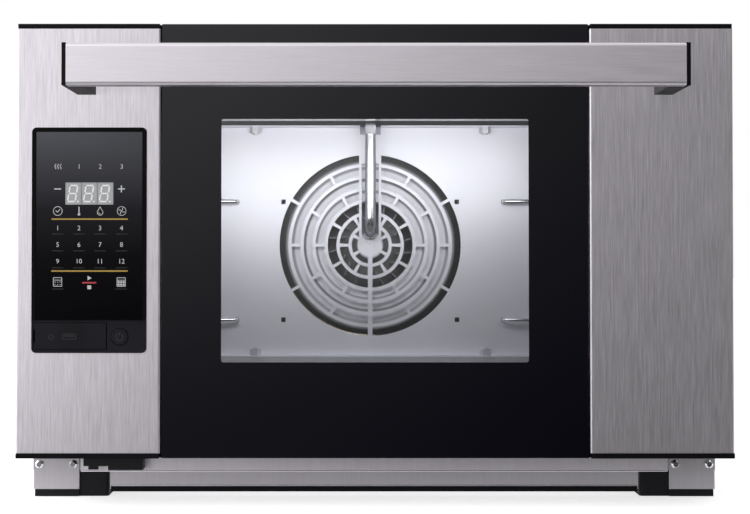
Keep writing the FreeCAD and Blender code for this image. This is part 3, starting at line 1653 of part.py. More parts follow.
def make_touch_panel():
    front = touch_back - size.touch_gauge
    play = size.panel_play
    window = rectangle(centred(display_x, size.display_width + 2 * play),
                       centred(display_z, size.display_height + 2 * play))
    node(plate("TouchPanel", "XZ", front, size.touch_gauge,
               [touch_loop(middle_line), window]), "touch_panel")
    display_front = front + size.display_recess
    node(plate("LedDisplay", "XZ", display_front, bezel_back - display_front,
               [rectangle(centred(display_x, size.display_width), centred(display_z, size.display_height))]),
         "led_display")


def make_control_board():
    lap = size.bezel_lap + size.panel_play
    board = plate("ControlBoard", "XZ", bezel_back, size.board_gauge,
                  [rectangle((touch_left, touch_right), (control_base + lap, control_top - lap))])
    collar_back = door_front + size.button_shoulder + size.button_rest_gap + size.button_collar_gauge
    switch_front = collar_back + size.button_travel + size.button_rest_gap
    pad(board, "XZ", switch_front, bezel_back - switch_front,
        [("circle", button_x, button_z, size.switch_radius)], "Switch")
    node(board, "control_board")

    socket = plate("ServiceSocket", "XZ", flap_seat_back, bezel_back - flap_seat_back,
                   [rectangle(centred(socket_x, size.socket_width), centred(socket_z, size.socket_height))])
    slot = rectangle(centred(socket_x, size.socket_slot_width), centred(socket_z, size.socket_slot_height))
    pocket(socket, "XZ", flap_seat_back, size.socket_slot_depth, [slot], "Slot")
    node(socket, "service_socket")


def make_button():
    front = bezel_front - size.button_proud
    seat = door_front + size.button_shoulder + size.button_rest_gap
    edge = size.button_proud
    button = turned("PowerButton", "Y", (button_x, front, button_z), [
        (0, 0), (seat - front + size.button_collar_gauge, 0),
        (seat - front + size.button_collar_gauge, size.button_collar), (seat - front, size.button_collar),
        (seat - front, size.button_radius), (edge, size.button_radius), (0, size.button_radius - edge),
    ])
    node(button, "power_button")


def make_flap():
    """Cover hinged on its right edge, with a finger notch on the left."""
    round_edge = size.flap_gauge / 2
    back = bezel_front + size.flap_gauge
    full = [
        (flap_left, bezel_front), (flap_right + round_edge, bezel_front, round_edge * FULL_ROUND),
        (flap_right + round_edge, back, round_edge * FULL_ROUND), (flap_left, back),
    ]
    flap = plate("ServiceFlap", "XY", flap_base, size.flap_height, [full])
    pocket(flap, "XZ", bezel_front, size.flap_gauge,
           [rectangle((flap_left - size.flap_notch, flap_left + size.flap_notch),
                      centred((flap_base + flap_top) / 2, size.flap_notch_height))], "FingerNotch")
    node(flap, "service_flap")


# Door hinges.

def make_hinges():
    nose = size.arm_nose
    flange_front = body_front - size.arm_flange_gauge
    half = size.arm_half
    arm = plate("HingeArmRight", "YZ", arm_low_x, size.arm_gauge, [[
        (hinge_y - nose, hinge_z - nose, nose * FULL_ROUND), (flange_front, hinge_z - nose),
        (flange_front, hinge_z + half), (hinge_y + half, hinge_z + half),
        (hinge_y + nose / 2, hinge_z + nose), (hinge_y - nose, hinge_z + nose, nose * FULL_ROUND),
    ]])
    tall = (size.pan_wall_top + size.base_gap, size.pan_wall_top + size.arm_flange_height)
    pad(arm, "XZ", flange_front, size.arm_flange_gauge,
        [rectangle(centred(hinge_x, size.arm_flange), tall)], "Flange")
    hook_y = hinge_y + size.spring_hook
    pocket(arm, "YZ", arm_low_x, size.arm_gauge, [
        ("circle", hinge_y, hinge_z, size.pin_radius + size.pin_play),
        ("circle", hook_y, hinge_z + size.spring_radius, size.spring_wire + size.spring_hook_play),
    ], "Holes")
    node(arm, "hinge_arm_right")
    node(mirrored("HingeArmLeft", arm), "hinge_arm_left")

    gap = size.ear_gap
    inner = arm_low_x - gap
    outer = arm_high_x + gap
    gauge = size.ear_gauge
    web_back = hinge_y - nose - size.arm_play - gap
    web_front = web_back - size.ear_web
    ears = plate("HingeBracketRight", "XY", skin_low, size.ear_height, [[
        (inner - gauge, web_front), (outer + gauge, web_front), (outer + gauge, hinge_y + size.ear_reach),
        (outer, hinge_y + size.ear_reach), (outer, web_back), (inner, web_back),
        (inner, hinge_y + size.ear_reach), (inner - gauge, hinge_y + size.ear_reach),
    ]])
    pocket(ears, "YZ", inner - gauge, outer - inner + 2 * gauge,
           [("circle", hinge_y, hinge_z, size.pin_radius)], "PinHole")
    node(gathered("HingeBrackets", [ears, mirrored("HingeBracketLeft", ears)]), "door_hinge_brackets")

    pin = rod("HingePinRight", "X", (hinge_x - size.pin_inboard, hinge_y, hinge_z),
              size.pin_inboard + size.pin_outboard, size.pin_radius)
    node(gathered("HingePins", [pin, mirrored("HingePinLeft", pin)]), "hinge_pins")


def make_hinge_springs():
    """Torsion spring on each pin: one leg lies on the bottom rail, the other hooks into the arm."""
    wire = float(size.spring_wire)
    radius = float(size.spring_radius)
    pitch = float(size.spring_pitch)
    turns = float(size.spring_turns)
    last_x = arm_low_x - size.ear_gap - size.ear_gauge - size.spring_wire - size.spring_gap
    centre = vector(last_x - size.spring_pitch * turns, hinge_y, hinge_z)
    edges, start, start_way, end, end_way = helix_chain(
        "X", centre, lambda share: radius, pitch, turns, -QUARTER_TURN, -1)
    lead_start = start - start_way * float(size.spring_leg)
    hook = end + end_way * float(size.spring_hook)
    tip = FreeCAD.Vector(float(hinge_x), hook.y, hook.z)
    tail = bent_path([end, hook, tip], float(size.spring_bend))
    chain = [Part.LineSegment(lead_start, start).toShape()] + edges + tail
    print("hinge spring, least gap", round(least_gap(chain, wire), 2))
    spring = formed("HingeSpringRight", sweep_coil(chain, wire))
    node(gathered("HingeSprings", [spring, mirrored("HingeSpringLeft", spring)]), "hinge_springs")


def write_parts():
    doc.recompute()
    failed = [o.Label for o in doc.Objects if "Invalid" in o.State or "Error" in o.State]
    if failed:
        raise RuntimeError(f"failed objects: {failed}")
    for target in nodes:
        if target.Shape.isNull() or not target.Shape.isValid() or not target.Shape.Solids:
            raise RuntimeError(f"bad shape: {target.Label}")
    os.makedirs("parts", exist_ok=True)
    for target in nodes:
        target.Shape.exportStep(f"parts/{target.Label}.step")
    print(len(nodes), "sub-parts written")


for make in (
    make_base, make_foot_bracket, make_feet, make_bracket_screws, make_cable_guide,
    make_side_panels, make_top_cover, make_rear_panel, make_front_frame, make_gasket, make_flue,
    make_liner, make_insulation, make_baffle, make_baffle_nuts, make_racks,
    make_fan, make_motor, make_heater, make_water, make_electrics,
    make_door_skins, make_door_rails, make_door_glass, make_inner_panel, make_glass_clips, make_lamps,
    make_handle, make_bezel, make_touch_panel, make_control_board, make_button, make_flap,
    make_hinges, make_hinge_springs,
):
    make()
write_parts()
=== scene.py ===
import math

import bmesh
import bpy
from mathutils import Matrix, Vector


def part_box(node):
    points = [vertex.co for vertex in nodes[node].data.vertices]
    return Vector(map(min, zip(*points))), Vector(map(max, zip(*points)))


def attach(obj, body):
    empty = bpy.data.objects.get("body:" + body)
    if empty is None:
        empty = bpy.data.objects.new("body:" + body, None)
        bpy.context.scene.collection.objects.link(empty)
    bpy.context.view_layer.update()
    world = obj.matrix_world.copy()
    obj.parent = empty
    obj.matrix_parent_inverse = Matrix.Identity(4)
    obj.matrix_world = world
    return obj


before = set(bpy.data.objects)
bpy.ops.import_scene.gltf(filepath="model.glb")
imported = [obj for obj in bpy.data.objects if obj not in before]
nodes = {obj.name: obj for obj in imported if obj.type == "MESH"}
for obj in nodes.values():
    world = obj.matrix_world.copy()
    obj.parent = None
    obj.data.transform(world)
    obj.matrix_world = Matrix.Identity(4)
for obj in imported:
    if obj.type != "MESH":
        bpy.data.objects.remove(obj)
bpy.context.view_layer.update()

scene = bpy.context.scene
MM = 0.001

# Photograph, in pixels: its size, the oven's middle, where depth lines meet, and the lens axis.
IMAGE_PX = (750.0, 514.0)
MIDDLE_PX = 374.5
VANISH_PX = (356.0, 261.0)
AXIS_PX = (356.6, 235.4)

# Camera: a pixel's size on the door's front plane, and the eye's place in metres.
PIXEL_MM = 0.8365
EYE_HEIGHT = 0.2069
EYE_DISTANCE = 1.147
EYE_TILT = math.radians(1.07)
SENSOR_MM = 36.0
CLIP_START, CLIP_END = 0.01, 60.0


def spot(px, py):
    """Millimetres (x, z) on the door's front plane for a pixel of the photograph."""
    return (px - MIDDLE_PX) * PIXEL_MM, EYE_HEIGHT / MM + (VANISH_PX[1] - py) * PIXEL_MM


# Node helpers.

# A colour Mix node's sockets: its factor, its two colours and its result.
MIX_FACTOR, MIX_FIRST, MIX_SECOND, MIX_RESULT = 0, 6, 7, 2
# A Mix Shader node's two shaders.
SHADER_FIRST, SHADER_SECOND = 1, 2
# Most of a noise texture lies between these values.
NOISE_LOW, NOISE_HIGH = 0.3, 0.7
BEVEL_SAMPLES = 4


class Tree:
    """Short calls for the nodes of one material or of the world."""

    def __init__(self, tree):
        self.tree = tree

    def new(self, kind, **values):
        node = self.tree.nodes.new(kind)
        for key, value in values.items():
            node.inputs[key.replace("_", " ")].default_value = value
        return node

    def link(self, output, socket):
        self.tree.links.new(output, socket)

    def math(self, operation, first, second):
        node = self.new("ShaderNodeMath")
        node.operation = operation
        for socket, value in zip(node.inputs, (first, second)):
            if isinstance(value, (int, float)):
                socket.default_value = value
            else:
                self.link(value, socket)
        return node.outputs[0]

    def spread(self, source, low, high, start=NOISE_LOW, end=NOISE_HIGH, curve="LINEAR"):
        """Goes from low to high while the source goes from start to end."""
        node = self.new("ShaderNodeMapRange", From_Min=start, From_Max=end, To_Min=low, To_Max=high)
        node.interpolation_type = curve
        self.link(source, node.inputs["Value"])
        return node.outputs["Result"]


class Shade(Tree):
    """A principled material whose detail comes from textures in the row frame."""

    def __init__(self, name, **sockets):
        self.mat = bpy.data.materials.new(name)
        self.mat.use_nodes = True
        super().__init__(self.mat.node_tree)
        self.bsdf = self.tree.nodes["Principled BSDF"]
        self.place = self.new("ShaderNodeTexCoord").outputs["Object"]
        for key, value in sockets.items():
            self.bsdf.inputs[key.replace("_", " ")].default_value = value

    def feed(self, socket, output):
        self.link(output, self.bsdf.inputs[socket])

    def source(self, socket):
        """What feeds a socket of the shader so far."""
        return self.bsdf.inputs[socket].links[0].from_socket

    def axis(self, letter):
        split = self.new("ShaderNodeSeparateXYZ")
        self.link(self.place, split.inputs[0])
        return split.outputs[letter]

    def inside(self, letter, low, high):
        """One between two places on an axis, nought outside."""
        place = self.axis(letter)
        above = self.math("GREATER_THAN", place, low)
        return self.math("MULTIPLY", above, self.math("LESS_THAN", place, high))

    def noise(self, scale, stretch=(1, 1, 1), detail=3.0, rough=0.5):
        mapping = self.new("ShaderNodeMapping", Scale=stretch)
        self.link(self.place, mapping.inputs["Vector"])
        noise = self.new("ShaderNodeTexNoise", Scale=scale, Detail=detail, Roughness=rough)
        self.link(mapping.outputs["Vector"], noise.inputs["Vector"])
        return noise.outputs["Fac"]

    def ramp(self, source, stops):
        ramp = self.new("ShaderNodeValToRGB")
        elements = ramp.color_ramp.elements
        while len(elements) < len(stops):
            elements.new(0.5)
        for element, (place, colour) in zip(elements, stops):
            element.position = place
            element.color = (*colour, 1.0)
        self.link(source, ramp.inputs["Fac"])
        return ramp.outputs["Color"]

    def mottle(self, source, colour, contrast):
        """Base colour that wavers to both sides of one tone."""
        stops = [(NOISE_LOW, tone(colour, 1 - contrast)), (NOISE_HIGH, tone(colour, 1 + contrast))]
        self.feed("Base Color", self.ramp(source, stops))

    def mix(self, kind):
        node = self.new("ShaderNodeMix")
        node.data_type = "RGBA"
        node.blend_type = kind
        return node

    def blend(self, factor, plain, other):
        """A plain colour where the factor is nought, the other output where it is one."""
        node = self.mix("MIX")
        self.link(factor, node.inputs[MIX_FACTOR])
        node.inputs[MIX_FIRST].default_value = (*plain, 1.0)
        self.link(other, node.inputs[MIX_SECOND])
        return node.outputs[MIX_RESULT]

    def darken(self, share):
        """Multiplies the base colour by a share that differs over the surface."""
        node = self.mix("MULTIPLY")
        node.inputs[MIX_FACTOR].default_value = 1.0
        self.link(self.source("Base Color"), node.inputs[MIX_FIRST])
        self.link(share, node.inputs[MIX_SECOND])
        self.feed("Base Color", node.outputs[MIX_RESULT])

    def bump(self, source, strength, distance, edge=0.0):
        """Fine relief; an edge radius in metres also softens the sharp corners."""
        bump = self.new("ShaderNodeBump", Strength=strength, Distance=distance)
        self.link(source, bump.inputs["Height"])
        if edge:
            bevel = self.new("ShaderNodeBevel", Radius=edge)
            bevel.samples = BEVEL_SAMPLES
            self.link(bevel.outputs["Normal"], bump.inputs["Normal"])
        self.feed("Normal", bump.outputs["Normal"])


def tone(colour, factor):
    return tuple(min(1.0, c * factor) for c in colour)


def grey(value):
    return (value, value, value)


# Kinds of finish.

# Radii of softened edges, in metres.
SHEET_EDGE = 0.0006
MOULD_EDGE = 0.0005
# Brushed grain: the scales and shares of its two noises, how far they are drawn out, and where its tones lie.
FINE_SCALE, STREAK_SCALE = 1900.0, 720.0
FINE_SHARE, STREAK_SHARE = 0.4, 0.6
GRAIN_STRETCH = 0.03
GRAIN_LOW, GRAIN_MIDDLE, GRAIN_HIGH = 0.32, 0.5, 0.68
PANE_HAZE = 0.985
PANE_ROUGH = (0.0, 0.004)
INK_ROUGH = (0.45, 0.6)
PALE = grey(1.0)


def brushed(name, colour, along, contrast, rough, edge=SHEET_EDGE):
    """Sheet steel with a brushed grain along one axis."""
    shade = Shade(name, Metallic=1.0)
    stretch = tuple(GRAIN_STRETCH if letter == along else 1.0 for letter in "XYZ")
    fine = shade.noise(FINE_SCALE, stretch, detail=2.0)
    streak = shade.noise(STREAK_SCALE, stretch, detail=3.0, rough=0.6)
    fine_part = shade.math("MULTIPLY", fine, FINE_SHARE)
    grain = shade.math("ADD", fine_part, shade.math("MULTIPLY", streak, STREAK_SHARE))
    dark, light = tone(colour, 1 - contrast), tone(colour, 1 + contrast)
    stops = [(GRAIN_LOW, dark), (GRAIN_MIDDLE, colour), (GRAIN_HIGH, light)]
    shade.feed("Base Color", shade.ramp(grain, stops))
    shade.feed("Roughness", shade.spread(grain, *rough))
    shade.bump(streak, strength=0.1, distance=0.00004, edge=edge)
    return shade


def sheet_steel(name, colour, rough=(0.22, 0.34), scale=30.0, contrast=0.05, metallic=1.0, **sockets):
    """Plain cold-rolled steel with a faint cloudy tone; pickled sheet scatters more and mirrors less."""
    shade = Shade(name, Metallic=metallic, **sockets)
    cloud = shade.noise(scale, detail=5.0)
    fine = shade.noise(scale=900.0, detail=2.0)
    shade.mottle(cloud, colour, contrast)
    shade.feed("Roughness", shade.spread(fine, *rough))
    shade.bump(fine, strength=0.06, distance=0.00002)
    return shade


def moulded(name, colour, rough=(0.38, 0.55), scale=1400.0, bump=0.25, contrast=0.18, **sockets):
    """Moulded plastic or rubber with a fine spark texture."""
    shade = Shade(name, **sockets)
    fine = shade.noise(scale, detail=2.0)
    cloud = shade.noise(scale=22.0, detail=4.0)
    shade.mottle(cloud, colour, contrast)
    shade.feed("Roughness", shade.spread(fine, *rough))
    shade.bump(fine, strength=bump, distance=0.00005, edge=MOULD_EDGE)
    return shade


def ink(name, colour, contrast=0.06, emission=0.0, **sockets):
    """Screen-printed ink with slightly uneven coverage."""
    shade = Shade(name, **sockets)
    cover = shade.noise(scale=2200.0, detail=2.0)
    shade.mottle(cover, colour, contrast)
    shade.feed("Roughness", shade.spread(cover, *INK_ROUGH))
    if emission:
        shade.bsdf.inputs["Emission Color"].default_value = (*colour, 1.0)
        shade.bsdf.inputs["Emission Strength"].default_value = emission
    return shade


def pane(name, tint, index):
    """Clear toughened glass with a trace of surface haze."""
    shade = Shade(name, Transmission_Weight=1.0, IOR=index)
    haze = shade.noise(scale=9.0, detail=3.0)
    shade.feed("Base Color", shade.ramp(haze, [(NOISE_LOW, tone(tint, PANE_HAZE)), (NOISE_HIGH, tint)]))
    shade.feed("Roughness", shade.spread(haze, *PANE_ROUGH))
    return shade


# Finishes that change over one piece.

STEEL = (0.668, 0.634, 0.682)
FASCIA = (0.0165, 0.0158, 0.02)

# Outer pane: its fired print, and how far in metres a lamp strip reaches past the clear window.
FIRED_BLACK = (0.001, 0.0007, 0.0045)
LAMP_REACH = 0.0115

# Fan wheel's painted shade by radius, as a share of its reach: in its eye, at its rim, and three rings of
# painted shadow with their tones.
WHEEL_EYE = [(0.0, PALE), (0.14, PALE), (0.17, grey(0.3)), (0.36, grey(0.38)), (0.5, (0.24, 0.24, 0.25)),
             (0.53, PALE)]
WHEEL_RIM = [(0.94, PALE), (1.0, (0.12, 0.12, 0.125))]
WHEEL_GROOVES = ((0.632, 0.5), (0.77, 0.32), (0.908, 0.55))
GROOVE_LIP, GROOVE_START, GROOVE_END = 0.022, 0.01, 0.018

# Painted shade on the chamber's ceiling, in metres before the baffle's flange, with tones by share of its
# reach.
STAIN_DEPTH = 0.0006
STAIN_REACH = 0.11
STAIN_TONES = [(0.0, PALE), (0.5, PALE), (0.57, (0.05, 0.05, 0.06)), (1.0, (0.03, 0.03, 0.035))]
DULL_START, DULL_END, DULL_ROUGH = 0.055, 0.047, 0.6

# Painted shade on the liner behind the baffle and on the floor: tones, and where the floor's shade gives way
# in metres.
BEHIND_TONE, FLOOR_TONE = 0.22, 0.4
FLOOR_START, FLOOR_END = 0.001, 0.002

# Darker stretches of the rail (painted shade below its fold), the bezel and the handle's brackets: tone, and
# where it changes in metres.
RAIL_TONE, RAIL_START, RAIL_END = 0.74, 0.002, 0.001
RIM_TONE, RIM_START = 0.14, 0.002
# The brackets' arm keeps a grey that is a painted reflection, and the tip is darkened back to black.
TIP_TONE, TIP_START, TIP_END = 0.06, 0.002, 0.004

# Touch film's painted reflection: tones from its lower to its upper edge.
FILM_TONES = [(0.0, (0.0012, 0.0012, 0.002)), (0.35, (0.004, 0.004, 0.005)), (0.6, (0.017, 0.017, 0.021)),
              (0.85, (0.062, 0.063, 0.072)), (1.0, (0.1, 0.103, 0.117))]
FILM_GRAIN = 0.03
FILM_ROUGH = (0.1, 0.16)

# Display lens.
LENS_TONES = [(NOISE_LOW, (0.27, 0.275, 0.28)), (NOISE_HIGH, (0.33, 0.335, 0.34))]
LENS_GLOW = (0.3, 0.305, 0.31, 1.0)
LENS_ROUGH = (0.3, 0.42)


def printed_pane():
    """Outer pane: black print fired into the border round the clear window."""
    shade = pane("OuterPane", (0.97, 0.975, 0.985), index=1.44)
    strip_low, strip_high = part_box("door_lamps")
    window_half = strip_high.x - LAMP_REACH
    across = shade.inside("X", -window_half, window_half)
    clear = shade.math("MULTIPLY", across, shade.inside("Z", strip_low.z, strip_high.z))
    shade.feed("Transmission Weight", clear)
    shade.feed("Base Color", shade.blend(clear, FIRED_BLACK, shade.source("Base Color")))
    return shade


def wheel_rings():
    """Fan wheel: pale sheet, with painted shade at its rim and in its eye, and three rings of painted shadow.
    """
    shade = sheet_steel("WheelSteel", (0.82, 0.82, 0.87), rough=(0.5, 0.6), scale=18.0, contrast=0.04,
                        metallic=0.25)
    low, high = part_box("fan_wheel")
    x = shade.math("SUBTRACT", shade.axis("X"), (low.x + high.x) / 2)
    z = shade.math("SUBTRACT", shade.axis("Z"), (low.z + high.z) / 2)
    squares = shade.math("ADD", shade.math("MULTIPLY", x, x), shade.math("MULTIPLY", z, z))
    radius = shade.math("POWER", squares, 0.5)
    share = shade.math("DIVIDE", radius, (high.x - low.x) / 2)
    stops = list(WHEEL_EYE)
    # Each ring is a band of painted shadow, and its second value is the shadow's tone.
    for ring, depth in WHEEL_GROOVES:
        stops += [(ring - GROOVE_LIP, PALE), (ring - GROOVE_START, grey(depth))]
        stops += [(ring + GROOVE_END, grey(depth)), (ring + GROOVE_LIP, PALE)]
    stops += WHEEL_RIM
    # Painted shade and painted shadows, laid over the base colour.
    shade.darken(shade.ramp(share, stops))
    return shade


def stained_liner():
    """Chamber walls, with a band of painted shade on the ceiling, and painted shade behind the baffle and on
    the floor.
    """
    shade = sheet_steel("LinerSteel", (0.58, 0.58, 0.6), rough=(0.24, 0.34), scale=9.0, contrast=0.03,
                        metallic=0.4, Specular_IOR_Level=0.15)
    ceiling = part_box("tube_nut")[1].z
    baffle_low, baffle_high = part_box("air_baffle")
    flange, back, floor = baffle_low.y, baffle_high.y, baffle_low.z
    overhead = shade.inside("Z", ceiling - STAIN_DEPTH, ceiling + STAIN_DEPTH)
    along = shade.spread(shade.axis("Y"), 0.0, 1.0, flange - STAIN_REACH, flange)
    # Painted shade: a dark band on the ceiling before the baffle's flange.
    shade.darken(shade.blend(overhead, PALE, shade.ramp(along, STAIN_TONES)))
    # Painted shade behind the baffle.
    shade.darken(shade.spread(shade.axis("Y"), 1.0, BEHIND_TONE, back, back + STAIN_DEPTH))
    # Painted shade on the floor.
    shade.darken(shade.spread(shade.axis("Z"), FLOOR_TONE, 1.0, floor + FLOOR_START, floor + FLOOR_END))
    rise = shade.spread(shade.axis("Y"), 0.0, DULL_ROUGH, flange - DULL_START, flange - DULL_END)
    dull = shade.math("MULTIPLY", overhead, rise)
    shade.feed("Roughness", shade.math("ADD", shade.source("Roughness"), dull))
    return shade


def rail_steel():
    """Front rail of the base, with painted shade below its fold."""
    shade = brushed("BrushedBase", tone(STEEL, 0.78), along="Z", contrast=0.07, rough=(0.38, 0.5))
    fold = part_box("base_pan")[0].z
    # Painted shade below the fold.
    shade.darken(shade.spread(shade.axis("Z"), RAIL_TONE, 1.0, fold - RAIL_START, fold - RAIL_END))
    return shade


def fascia(name):
    """Matt black moulding of the control side."""
    return moulded(name, FASCIA, rough=(0.42, 0.55), scale=2400.0, bump=0.18, Specular_IOR_Level=0.06)


def bezel_rim():
    """Control bezel: matt below the touch panel, and darker from the panel's lower edge upwards, round the
    panel.
    """
    shade = fascia("BezelBlack")
    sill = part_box("touch_panel")[0].z
    shade.darken(shade.spread(shade.axis("Z"), 1.0, RIM_TONE, sill - RIM_START, sill))
    return shade


def bracket_black():
    """Handle bracket: black at the bar's end, greyer along the arm behind the bar, where the grey is a
    painted reflection.
    """
    # The grey base colour is a painted reflection.
    shade = moulded("BracketBlack", (0.075, 0.075, 0.08), rough=(0.45, 0.6), scale=1800.0, bump=0.12,
                    Specular_IOR_Level=0.09)
    bar_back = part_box("handle_bar")[1].y
    shade.darken(shade.spread(shade.axis("Y"), TIP_TONE, 1.0, bar_back - TIP_START, bar_back + TIP_END))
    return shade


def touch_film():
    """Gloss front film, with a painted reflection from dark grey at the top to black below."""
    shade = Shade("TouchFilm", Specular_IOR_Level=0.055)
    low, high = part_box("touch_panel")
    height = shade.spread(shade.axis("Z"), 0.0, 1.0, low.z, high.z)
    grain = shade.math("MULTIPLY", shade.noise(scale=1200.0), FILM_GRAIN)
    # Painted reflection, brighter towards the top.
    shade.feed("Base Color", shade.ramp(shade.math("ADD", height, grain), FILM_TONES))
    shade.feed("Roughness", shade.spread(shade.noise(scale=40.0), *FILM_ROUGH))
    return shade


def smoked_display():
    """Grey, slightly cloudy lens behind the digits, lit evenly."""
    shade = Shade("DisplayLens", Emission_Color=LENS_GLOW, Emission_Strength=0.36)
    cloud = shade.noise(scale=160.0, detail=3.0)
    shade.feed("Base Color", shade.ramp(cloud, LENS_TONES))
    shade.feed("Roughness", shade.spread(cloud, *LENS_ROUGH))
    return shade


# Finishes that are even all over.

skin_steel = brushed("BrushedSkin", STEEL, along="Z", contrast=0.19, rough=(0.37, 0.48))
foot_steel = brushed("BrushedFoot", tone(STEEL, 0.58), along="Z", contrast=0.07, rough=(0.38, 0.5))
# Brighter steel of the painted highlights along the rail's folds.
fold_steel = brushed("BrushedFoldHighlight", tone(STEEL, 1.15), along="X", contrast=0.05, rough=(0.3, 0.4), edge=0.0)
bar_steel = brushed("BrushedBar", tone(STEEL, 1.06), along="X", contrast=0.06, rough=(0.4, 0.52), edge=0.0)
case_steel = brushed("BrushedCase", tone(STEEL, 0.7), along="Y", contrast=0.15, rough=(0.32, 0.44))
plain_steel = sheet_steel("PlainSteel", (0.6, 0.6, 0.61))
zinc_steel = sheet_steel("ZincSteel", (0.43, 0.44, 0.46), rough=(0.3, 0.5), scale=130.0, contrast=0.12)
bright_steel = sheet_steel("BrightSteel", (0.8, 0.8, 0.82), rough=(0.07, 0.13), scale=12.0, contrast=0.03)
chamber_steel = sheet_steel("ChamberSteel", (0.805, 0.805, 0.865), rough=(0.44, 0.54), scale=9.0,
                            contrast=0.03, metallic=0.55)
nut_steel = sheet_steel("NutSteel", (0.5, 0.5, 0.53), rough=(0.12, 0.2), scale=14.0, contrast=0.04)
stud_steel = sheet_steel("StudSteel", (0.68, 0.68, 0.72), rough=(0.3, 0.4), scale=14.0, contrast=0.04,
                         metallic=0.55)
tube_chrome = sheet_steel("TubeChrome", (0.74, 0.74, 0.78), rough=(0.2, 0.28), scale=12.0, contrast=0.03,
                          Specular_Tint=(0.12, 0.12, 0.14, 1.0))
sheath = sheet_steel("ElementSheath", (0.34, 0.3, 0.27), rough=(0.3, 0.45), scale=60.0, contrast=0.18)
copper = sheet_steel("DrawnCopper", (0.78, 0.43, 0.27), rough=(0.2, 0.34), scale=40.0, contrast=0.1)
socket_tin = sheet_steel("SocketTin", (0.55, 0.55, 0.57), rough=(0.24, 0.36), scale=80.0, contrast=0.06)
black_plastic = moulded("BlackPlastic", (0.0075, 0.0075, 0.0095), Specular_IOR_Level=0.22)
trim_black = moulded("TrimBlack", (0.0045, 0.0045, 0.0063), rough=(0.45, 0.6), scale=1800.0, bump=0.12,
                     Specular_IOR_Level=0.09)
foot_rubber = moulded("FootRubber", (0.0065, 0.0065, 0.0085), rough=(0.55, 0.72), scale=900.0, bump=0.3,
                      Specular_IOR_Level=0.2)
seal_rubber = moulded("SealRubber", (0.03, 0.03, 0.034), rough=(0.45, 0.6), scale=700.0)
motor_paint = moulded("MotorPaint", (0.05, 0.05, 0.055), rough=(0.4, 0.55), scale=300.0, bump=0.2)
wool = moulded("MineralWool", (0.72, 0.66, 0.5), rough=(0.85, 0.95), scale=220.0, bump=0.9, contrast=0.1)
board_green = moulded("BoardLacquer", (0.02, 0.13, 0.06), rough=(0.18, 0.3), scale=500.0, bump=0.1)
inner_pane = pane("InnerPane", (0.985, 0.99, 0.99), index=1.2)
mask_black = ink("MaskPrint", (0.002, 0.002, 0.0024), contrast=0.2, Specular_IOR_Level=0.0)
lamp_lens = ink("LampLens", (0.9, 0.9, 0.86), contrast=0.03, emission=0.25)


def dress(shade, *names):
    for name in names:
        slots = nodes[name].data.materials
        slots.clear()
        slots.append(shade.mat)


dress(skin_steel, "door_skin_left", "door_skin_right")
dress(rail_steel(), "base_front_rail")
dress(foot_steel, "foot_bracket_left", "foot_bracket_right")
dress(bar_steel, "handle_bar")
dress(case_steel, "side_panel_left", "side_panel_right", "top_cover", "front_frame", "door_inner_panel")
dress(zinc_steel, "rear_panel", "base_pan", "motor_mount", "hinge_arm_left", "hinge_arm_right",
      "door_hinge_brackets", "inner_glass_clips")
dress(plain_steel, "hinge_pins", "hinge_springs", "motor_shaft", "hub_nut", "exhaust_flue")
dress(bright_steel, "bracket_screws", "tray_rack_left", "tray_rack_right")
dress(nut_steel, "tube_nut")
dress(stud_steel, "baffle_nuts")
dress(tube_chrome, "water_tube")
dress(wheel_rings(), "fan_wheel")
dress(chamber_steel, "air_baffle")
dress(stained_liner(), "cavity_liner")
dress(black_plastic, "cable_guide", "cable_gland", "terminal_block", "water_valve", "cooling_fan")
dress(trim_black, "door_top_rail", "door_bottom_rail", "rail_edge_trim")
dress(bracket_black(), "handle_end_left", "handle_end_right")
dress(fascia("FasciaBlack"), "service_flap", "power_button")
dress(bezel_rim(), "control_bezel")
dress(foot_rubber, "rubber_feet")
dress(seal_rubber, "door_gasket")
dress(motor_paint, "motor_housing")
dress(wool, "insulation_blankets")
dress(board_green, "power_board", "control_board")
dress(sheath, "heating_element")
dress(copper, "water_line")
dress(socket_tin, "service_socket")
dress(printed_pane(), "door_outer_glass")
dress(inner_pane, "door_inner_glass")
dress(mask_black, "glass_mask")
dress(touch_film(), "touch_panel")
dress(smoked_display(), "led_display")
dress(lamp_lens, "door_lamps")

# The bar stays out of the mirror images in the glass and skins behind it.
for name in ("handle_bar", "handle_end_left", "handle_end_right"):
    nodes[name].visible_glossy = False


# Smooth shading for the round faces that the frame brings in as facets.

SHARP_ANGLE = math.radians(32.0)


def smooth(obj):
    for polygon in obj.data.polygons:
        polygon.use_smooth = True
    obj.data.set_sharp_from_angle(angle=SHARP_ANGLE)


for node_object in nodes.values():
    smooth(node_object)


# Pieces that the solids leave out.

def mesh_object(name, mesh, mat):
    """An object in the scene made from a bmesh, which is freed."""
    data = bpy.data.meshes.new(name)
    mesh.to_mesh(data)
    mesh.free()
    data.materials.append(mat)
    obj = bpy.data.objects.new(name, data)
    scene.collection.objects.link(obj)
    return obj


def add_piece(name, mesh, shade, body):
    """A mesh that rides on a body, with the finish it is given."""
    piece = mesh_object(name, mesh, shade.mat)
    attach(piece, body)
    return piece


def add_solid(name, mesh, shade, body):
    """A closed piece, with its faces turned outwards and its round ones smooth."""
    bmesh.ops.recalc_face_normals(mesh, faces=mesh.faces)
    smooth(add_piece(name, mesh, shade, body))


def close_loops(mesh, loops):
    """Walls from each ring of vertices to the next, and a cap at both ends."""
    for low, high in zip(loops, loops[1:]):
        for i in range(len(low)):
            j = (i + 1) % len(low)
            mesh.faces.new([low[i], low[j], high[j], high[i]])
    mesh.faces.new(loops[0][::-1])
    mesh.faces.new(loops[-1])


def round_angles(steps):
    return [2 * math.pi * step / steps for step in range(steps)]


# Flat prints on the controls.

